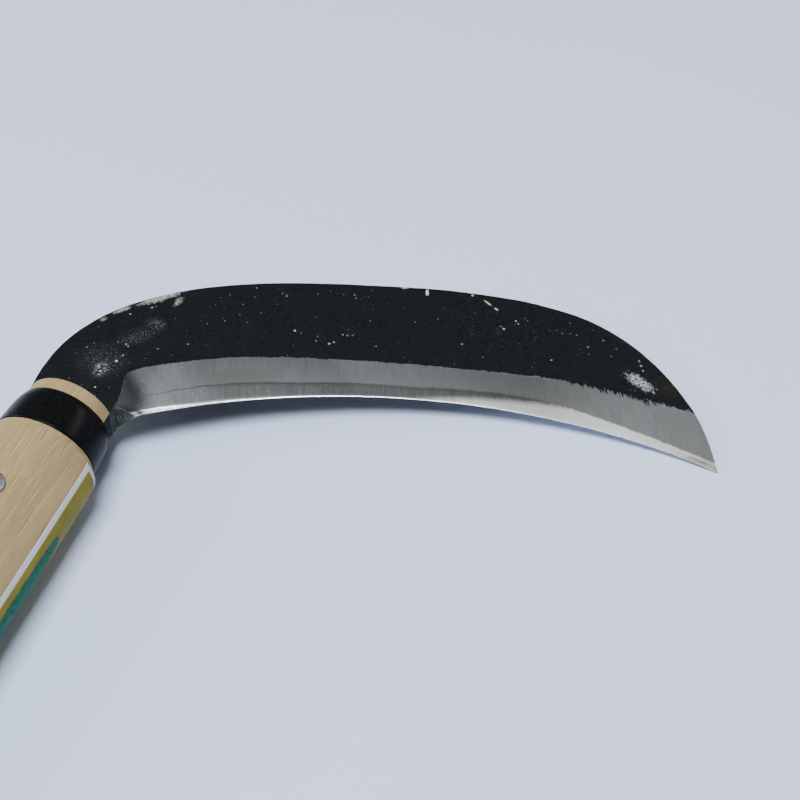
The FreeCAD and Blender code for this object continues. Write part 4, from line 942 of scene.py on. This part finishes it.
    # outer wall
    top_w, bot_w = u["R"][:, -1], l["R"][:, -1]
    co = np.concatenate(B.co)
    pa, pb = co[top_w], co[bot_w]
    rows = []
    for k in range(1, NW):
        t = k / float(NW)
        q = pa * (1 - t) + pb * t
        bulge = 0.10 * math.sin(math.pi * t) + 0.09 * noise2(q[:, 0], q[:, 1] + 17.0 * k, 2.2, 9.0)
        q[:, :2] += unit * (bulge * np.clip(wid / 8.0, 0, 1) * np.clip((AO[:, 1] + 4) / 6.0, 0, 1))[:, None]
        rows.append(q)
    Wl = B.add(np.stack(rows, 1), np.array([-0.5, 0, 20.0, 9.0]))
    wall = np.concatenate([top_w[:, None], Wl, bot_w[:, None]], 1)
    B.grid(wall, flip=False)
    # inner wall of the neck
    K = nn_
    pa, pb = co[u["A"][:K + 1, 0]], co[l["A"][:K + 1, 0]]
    rows = [pa * (1 - t) + pb * t for t in (0.25, 0.5, 0.75)]
    Ni = B.add(np.stack(rows, 1), np.array([-0.5, 0, 20.0, 9.0]))
    nwall = np.concatenate([u["A"][:K + 1, :1], Ni, l["A"][:K + 1, :1]], 1)
    B.grid(nwall, flip=True)
    # end of the tang
    B.poly(list(u["A"][0]) + list(u["R"][0]) + list(Wl[0]) + list(l["R"][0][::-1]) + list(l["A"][0][::-1]) + list(nwall[0][1:-1][::-1]), flip=False)

    def cap(m, flip, left):
        ub, lb, us, ls = u["B1"][m], l["B1"][m], u["S"][m], l["S"][m]
        B.poly([ub[0], ub[1], lb[1], lb[0]] + list(left[::-1]), flip)
        for j in range(1, SB - 1):
            B.poly([ub[j], ub[j + 1], lb[j + 1], lb[j]], flip)
        B.poly([ub[SB - 1], ub[SB], us[0], ls[0], lb[SB], lb[SB - 1]], flip)
        for j in range(SB, NB1):
            k = j - SB
            if j + 1 == NB1:
                B.poly([ub[j], ub[j + 1], us[k]], flip)
                B.poly([lb[j], lb[j + 1], ls[k]], not flip)
            else:
                B.poly([ub[j], ub[j + 1], us[k + 1], us[k]], flip)
                B.poly([lb[j], lb[j + 1], ls[k + 1], ls[k]], not flip)

    cap(0, False, list(Ni[-1]))
    cap(-1, True, list(Wl[-1]))
    # back of the socket
    B.grid(np.stack([u["S"][:, 0], l["S"][:, 0]], 1), flip=True)
    jacket = B.mesh("blade_forging")

    # ---- edge steel: what shows beyond the weld line, and the tongue inside the iron
    G = Build()
    x0, y0_ = P1[:, SB:, 0], P1[:, SB:, 1]
    x2, y2 = P2[:, 1:, 0], P2[:, 1:, 1]
    X, Y = np.concatenate([x0, x2], 1), np.concatenate([y0_, y2], 1)
    vv = np.concatenate([v1[:, SB:], v2[:, 1:]], 1)
    zin = np.broadcast_to(cz[:, None], x0.shape)
    zz = bevel_z(v2[:, 1:], None)
    Z = np.concatenate([zin, zz], 1)
    jag = 0.05 * noise2(E[:, 0], E[:, 1], 1.1, 21.0) * np.clip((45 - E[:, 0]) / 25.0, 0.15, 1.0)
    X[1:-1, -1] += (jag * nrm[:, 0])[1:-1]
    Y[1:-1, -1] += (jag * nrm[:, 1])[1:-1]
    att = np.stack([np.broadcast_to(mb[:, None], X.shape), np.broadcast_to(elong[:, None], X.shape),
                    (1 - vv) * W[:, None], np.maximum(vv - vL[:, None], 0) * W[:, None]], -1)
    T = G.add(np.stack([X, Y, Z], -1), att)
    L = G.add(np.stack([X, Y, -Z], -1), att)
    G.grid(T, flip=True)
    G.grid(L, flip=False)
    G.grid(np.stack([T[:, -1], L[:, -1]], 1), flip=True)
    G.grid(np.stack([T[:, 0], L[:, 0]], 1), flip=False)
    G.grid(np.stack([T[0], L[0]], 1), flip=False)
    G.grid(np.stack([T[-1], L[-1]], 1), flip=True)
    steel = G.mesh("blade_edge_steel")
    return jacket, steel


# ----------------------------------------------------------------- handle geometry
def oval_table(table):
    t = np.array(table)
    return natural(t[:, 0], t[:, 1:])


SHOULDER_AT, GRIP_AT, FERRULE_AT = oval_table(SHOULDER), oval_table(GRIP), oval_table(FERRULE)


def handle_oval(s):
    s = float(s)
    if s < 20.6:
        return SHOULDER_AT(s)[0]
    return GRIP_AT(s)[0]


def ring(s, w, v, n, grow=0.0):
    a = np.linspace(0, 2 * math.pi, n, endpoint=False)
    return np.stack([(w + grow) * np.cos(a), np.full(n, -s), (v + grow) * np.sin(a)], -1)


def tube_mesh(name, rings, closed_ends=True, welded=False):
    """Closed solid through equal rings of points."""
    B = Build()
    ids = B.add(np.stack(rings, 0), np.zeros(4))
    wrap = np.concatenate([ids, ids[:, :1]], 1)
    B.grid(wrap)
    if closed_ends:
        B.poly(ids[0])
        B.poly(ids[-1][::-1])
    else:
        B.grid(np.stack([wrap[-1], wrap[0]], 0))
    return B.mesh(name)


def rounded(s0, s1, inner, outer):
    """Profile points of a step's rounded corner."""
    return [(s0 + (s1 - s0) * (1 - math.cos(a)), inner + (outer - inner) * math.sin(a)) for a in np.linspace(0, math.pi / 2, 5)]


def cut_with(ob, cutter):
    m = ob.modifiers.new("cut", "BOOLEAN")
    m.operation = "DIFFERENCE"
    m.solver = "EXACT"
    m.object = cutter
    bpy.context.view_layer.update()
    dg = bpy.context.evaluated_depsgraph_get()
    me = bpy.data.meshes.new_from_object(ob.evaluated_get(dg))
    old = ob.data
    ob.modifiers.clear()
    ob.data = me
    bpy.data.meshes.remove(old)
    cm = cutter.data
    bpy.data.objects.remove(cutter)
    bpy.data.meshes.remove(cm)


def block(name, faces_pts):
    """Convex cutter from eight corners: first four and last four are opposite faces."""
    B = Build()
    ids = B.add(np.array(faces_pts, float), np.zeros(4))
    for q in ((0, 1, 2, 3), (7, 6, 5, 4), (0, 4, 5, 1), (1, 5, 6, 2), (2, 6, 7, 3), (3, 7, 4, 0)):
        B.poly([ids[i] for i in q])
    me = B.mesh(name)
    ob = bpy.data.objects.new(name, me)
    bpy.context.scene.collection.objects.link(ob)
    return ob


def tang_t(s):
    return 9.0 + (4.4 - 9.0) * s / 82.0


def make_handle():
    N = 288
    rings = []
    rn = 12.86
    for s, r in ((0.0, rn - 0.30), (0.06, rn - 0.13), (0.2, rn - 0.03), (0.42, rn)):
        rings.append(ring(s, r, r, N))
    for s in np.linspace(0.9, 16.1, 18):
        rings.append(ring(s, rn, rn, N))
    w, v = SHOULDER[0][1:]
    rings.append(ring(16.1, w - 0.25, v - 0.25, N))
    rings.append(ring(16.13, w - 0.10, v - 0.10, N))
    rings.append(ring(16.22, *(handle_oval(16.22) - 0.02), N))
    ss = list(np.arange(16.5, 24.0, 0.5)) + list(np.arange(24.0, 372.3, 2.4))
    for s in ss:
        rings.append(ring(s, *handle_oval(s), N))
    for a in np.linspace(0.0, math.pi / 2, 9):
        s = 372.5 + 2.5 * math.sin(a)
        w, v = handle_oval(s)
        k = 2.5 * (1 - math.cos(a))
        rings.append(ring(s, w - k, v - k, N))
    me = tube_mesh("handle_oak", rings)
    # hand-sanded surface: nearly true, with faint flats
    co = np.zeros(len(me.vertices) * 3)
    me.vertices.foreach_get("co", co)
    p = from_row(co.reshape(-1, 3))
    r = np.hypot(p[:, 0], p[:, 2])
    d = 0.06 * noise2(np.arctan2(p[:, 2], p[:, 0]) * 9.0, p[:, 1] * 0.25, 3.0, 31.0) * np.clip((-p[:, 1] - 17) / 6.0, 0, 1)
    p[:, 0] += d * p[:, 0] / np.maximum(r, 1)
    p[:, 2] += d * p[:, 2] / np.maximum(r, 1)
    me.vertices.foreach_set("co", to_row(p).ravel())
    ob = bpy.data.objects.new("handle_tmp", me)
    bpy.context.scene.collection.objects.link(ob)
    g = 0.10
    t0, t1 = tang_t(-1) / 2 + g, tang_t(14) / 2 + g
    cut_with(ob, block("saw", [(-20, 1, -t0), (20, 1, -t0), (20, 1, t0), (-20, 1, t0),
                               (-20, -14, -t1), (20, -14, -t1), (20, -14, t1), (-20, -14, t1)]))
    f0, f1 = 12.0 / 82, 83.0 / 82
    a0, b0 = -12.4 + f0 * 6.9 - .05, 12.0 - f0 * 6.5 + .05
    a1, b1 = -12.4 + f1 * 6.9 - .05, 12.0 - f1 * 6.5 + .05
    t0, t1 = tang_t(12) / 2 + 0.02, tang_t(83) / 2 + 0.02
    cut_with(ob, block("mortise", [(a0, -12, -t0), (b0, -12, -t0), (b0, -12, t0), (a0, -12, t0),
                                   (a1, -83, -t1), (b1, -83, -t1), (b1, -83, t1), (a1, -83, t1)]))
    # seats that the rivet heads are driven into
    for y in (-38.6, -66.0):
        n = 64
        prof = [(-20, 3.98), (-13.06, 3.98), (-13.06, 2.32), (13.06, 2.32), (13.06, 3.98), (20, 3.98)]
        a = np.linspace(0, 2 * math.pi, n, endpoint=False)
        B = Build()
        ids = B.add(np.stack([np.stack([rr * np.cos(a), y + rr * np.sin(a), np.full(n, zz)], -1) for zz, rr in prof], 0), np.zeros(4))
        B.grid(np.concatenate([ids, ids[:, :1]], 1))
        B.poly(ids[0])
        B.poly(ids[-1][::-1])
        mm_ = B.mesh("seat")
        c = bpy.data.objects.new("seat", mm_)
        bpy.context.scene.collection.objects.link(c)
        cut_with(ob, c)
    me = ob.data
    bpy.data.objects.remove(ob)
    me.name = "handle_oak"
    return me


def make_ferrule():
    N = 320
    s0, s1 = 4.1, 15.98
    bore = 12.88
    out = []
    # lip at the front: from the bore out and round on to the outside
    w0, v0 = FERRULE_AT(s0)[0]
    out.append(ring(s0 + 0.05, bore, bore, N))
    for a in np.linspace(0.0, math.pi / 2, 6):
        s = s0 + 0.42 * (1 - math.cos(a))
        w, v = FERRULE_AT(s0 + 0.42)[0]
        k = 0.30 * (1 - math.sin(a))
        out.append(ring(s, w - k - 0.02, v - k - 0.02, N))
    for s in np.linspace(s0 + 0.6, s1 - 0.6, 34):
        w, v = FERRULE_AT(s)[0]
        out.append(ring(s, w, v, N))
    for a in np.linspace(0.0, math.pi / 2, 6):
        s = s1 - 0.42 + 0.42 * math.sin(a)
        w, v = FERRULE_AT(s1 - 0.42)[0]
        k = 0.34 * (1 - math.cos(a))
        out.append(ring(s, w - k, v - k, N))
    out.append(ring(s1 - 0.05, bore, bore, N))
    for s in np.linspace(s1 - 1.0, s0 + 1.0, 8):
        out.append(ring(s, bore, bore, N))
    return tube_mesh("ferrule_moulding", out, closed_ends=False)


def make_rivets():
    """Two rivets, each turned: shank, low dome with a rolled rim, hammer marks on top."""
    B = Build()
    n = 96
    a = np.linspace(0, 2 * math.pi, n, endpoint=False)
    for y in (-38.6, -66.0):
        top = 14.5
        dome = []
        for rr in (0.35, 0.8, 1.3, 1.8, 2.25, 2.65, 2.95, 3.2, 3.42):
            dome.append((top - 0.60 * (rr / 3.75) ** 2.4, rr))
        dome += [(13.78, 3.60), (13.62, 3.71), (13.45, 3.75), (13.2, 3.74), (13.07, 3.66)]
        prof = dome + [(13.06, 2.30), (6.0, 2.30), (0.0, 2.30), (-6.0, 2.30), (-13.06, 2.30)] + \
            [(-z, r) for z, r in dome[::-1]]
        pts = np.stack([np.stack([rr * np.cos(a), y + rr * np.sin(a), np.full(n, zz)], -1) for zz, rr in prof], 0)
        head = np.abs(pts[..., 2]) > 13.6
        dent = 0.085 * noise2(pts[..., 0], pts[..., 1], 1.3, 41.0) + 0.05 * noise2(pts[..., 0], pts[..., 1], 0.6, 43.0)
        pts[..., 2] += np.where(head, dent * np.sign(pts[..., 2]), 0.0)
        ids = B.add(pts, np.zeros(4))
        B.grid(np.concatenate([ids, ids[:, :1]], 1))
        B.poly(ids[0])
        B.poly(ids[-1][::-1])
    return B.mesh("rivets_round_head")


LABEL_TOP, LABEL_LONG, LABEL_A0, LABEL_A1 = 18.6, 92.0, 20.6, -70.0
LABEL_AROUND = 0.0


def make_label():
    """Paper skin on the oval, with rounded cut edges, rising 0.2 mm from the wood."""
    global LABEL_AROUND
    ns, na = 150, 84
    ss = np.concatenate([[0, .05, .12], np.linspace(.3, LABEL_LONG - .3, ns - 6), [LABEL_LONG - .12, LABEL_LONG - .05, LABEL_LONG]])
    fa = np.concatenate([[0, .0015, .004], np.linspace(.01, .99, na - 6), [.996, .9985, 1.0]])
    ang = np.radians(LABEL_A0 + (LABEL_A1 - LABEL_A0) * fa)
    out, inn = [], []
    w_, v_ = handle_oval(60.0)
    pr = lambda an, w, v: np.stack([np.cos(an), np.sin(an)], -1) / np.sqrt((np.cos(an) / w) ** 2 + (np.sin(an) / v) ** 2)[:, None]
    q = pr(ang, w_, v_)
    arc = np.concatenate([[0], np.cumsum(np.hypot(*np.diff(q, axis=0).T))])
    LABEL_AROUND = float(arc[-1])
    T = []
    for s in ss:
        w, v = handle_oval(LABEL_TOP + s)
        base = pr(ang, w, v)
        nr = base / np.array([w, v]) ** 2
        nr /= np.hypot(*nr.T)[:, None]
        e = np.minimum(np.minimum(s, LABEL_LONG - s), np.minimum(arc, arc[-1] - arc))
        lift = 0.10 + 0.09 * np.sqrt(np.clip(e / 0.12, 0, 1)) + 0.02 * noise2(arc, arc * 0 + s, 6.0, 51.0)
        o = base + nr * lift[:, None]
        i = base + nr * 0.015
        mk = lambda b: np.stack([b[:, 0], np.full(len(b), -(LABEL_TOP + s)), b[:, 1]], -1)
        out.append(mk(o))
        inn.append(mk(i))
        T.append(np.stack([np.zeros(len(arc)), np.full(len(arc), s), arc, np.zeros(len(arc))], -1))
    B = Build()
    o = B.add(np.stack(out), np.stack(T))
    i = B.add(np.stack(inn), np.stack(T))
    B.grid(o)
    B.grid(i, flip=True)
    B.grid(np.stack([o[0], i[0]], 0), flip=True)
    B.grid(np.stack([o[-1], i[-1]], 0))
    B.grid(np.stack([o[:, 0], i[:, 0]], 1))
    B.grid(np.stack([o[:, -1], i[:, -1]], 1), flip=True)
    return B.mesh("label_skin")


jacket_me, steel_me = make_blade()
blade_ob = finish_piece("blade_forged", jacket_me, blade_material(), "blade", 40.0)
steel_ob = finish_piece("blade_edge", steel_me, steel_material(), "edge_steel", 25.0)
handle_ob = finish_piece("handle_wood", make_handle(), wood_material(), "handle", 35.0)
ferrule_ob = finish_piece("ferrule_ring", make_ferrule(), ferrule_material(), "ferrule", 50.0)
rivets_ob = finish_piece("rivet_pair", make_rivets(), rivet_material(), "tang_rivets", 50.0)
label_me = make_label()
label_ob = finish_piece("label_strip", label_me, label_material(), "label", 60.0)

# ----------------------------------------------------------------- floor and light
def plane_mesh(name, size, z, cx=0.0, cy=0.0, cuts=1):
    me = bpy.data.meshes.new(name)
    h = size / 2
    me.from_pydata([(cx - h, cy - h, z), (cx + h, cy - h, z), (cx + h, cy + h, z), (cx - h, cy + h, z)], [], [(0, 1, 2, 3)])
    ob = bpy.data.objects.new(name, me)
    bpy.context.scene.collection.objects.link(ob)
    return ob


floor = plane_mesh("floor", 14.0, -0.0002)
fm = Mat("floor_paper")
fg = fm.t.nodes.new("ShaderNodeTexCoord")
fn = fm.noise(fg.outputs["Object"], 2.0, 2.0)
fm.set("Base Color", fm.mix(fm.step(fn, 0.3, 0.7), (0.650, 0.735, 0.965), (0.665, 0.750, 0.975)))
fm.bsdf.inputs["Roughness"].default_value = 0.42
fm.bsdf.inputs["Specular IOR Level"].default_value = 0.25
floor.data.materials.append(fm.m)

world = bpy.data.worlds.new("studio")
bpy.context.scene.world = world
world.use_nodes = True
wt = world.node_tree
bg = wt.nodes["Background"]
tc = wt.nodes.new("ShaderNodeTexCoord")
sx = wt.nodes.new("ShaderNodeSeparateXYZ")
wt.links.new(tc.outputs["Generated"], sx.inputs[0])
wr = wt.nodes.new("ShaderNodeValToRGB")
wt.links.new(sx.outputs[2], wr.inputs[0])
stops = [(0.0, (0.56, 0.60, 0.66)), (0.09, (0.44, 0.46, 0.50)), (0.26, (0.150, 0.138, 0.115)), (0.60, (0.122, 0.112, 0.092))]
while len(wr.color_ramp.elements) < len(stops):
    wr.color_ramp.elements.new(0.5)
for el, (at, c) in zip(wr.color_ramp.elements, stops):
    el.position = at
    el.color = (*c, 1)
wt.links.new(wr.outputs[0], bg.inputs[0])
bg.inputs[1].default_value = 1.0

AIM = Vector((0.0, 0.18, 0.0))


def area(name, direction, dist, sx, sy, power, colour=(1, 1, 1)):
    d = bpy.data.lights.new(name, "AREA")
    d.shape = "RECTANGLE"
    d.size, d.size_y = sx, sy
    d.energy = power
    d.color = colour
    ob = bpy.data.objects.new(name, d)
    bpy.context.scene.collection.objects.link(ob)
    v = Vector(direction).normalized()
    ob.location = AIM + v * dist
    ob.rotation_mode = "QUATERNION"
    ob.rotation_quaternion = (-v).to_track_quat("-Z", "Y")
    return ob


area("key", (-0.02, -0.22, 0.96), 1.5, 0.76, 0.62, 38.0, (0.91, 0.955, 1.0))
area("left", (-0.94, -0.10, 0.50), 1.6, 0.9, 0.7, 11.0, (1.0, 0.96, 0.90))
area("back", (0.62, 0.70, 0.58), 1.7, 0.6, 0.3, 4.0, (0.98, 0.99, 1.0))
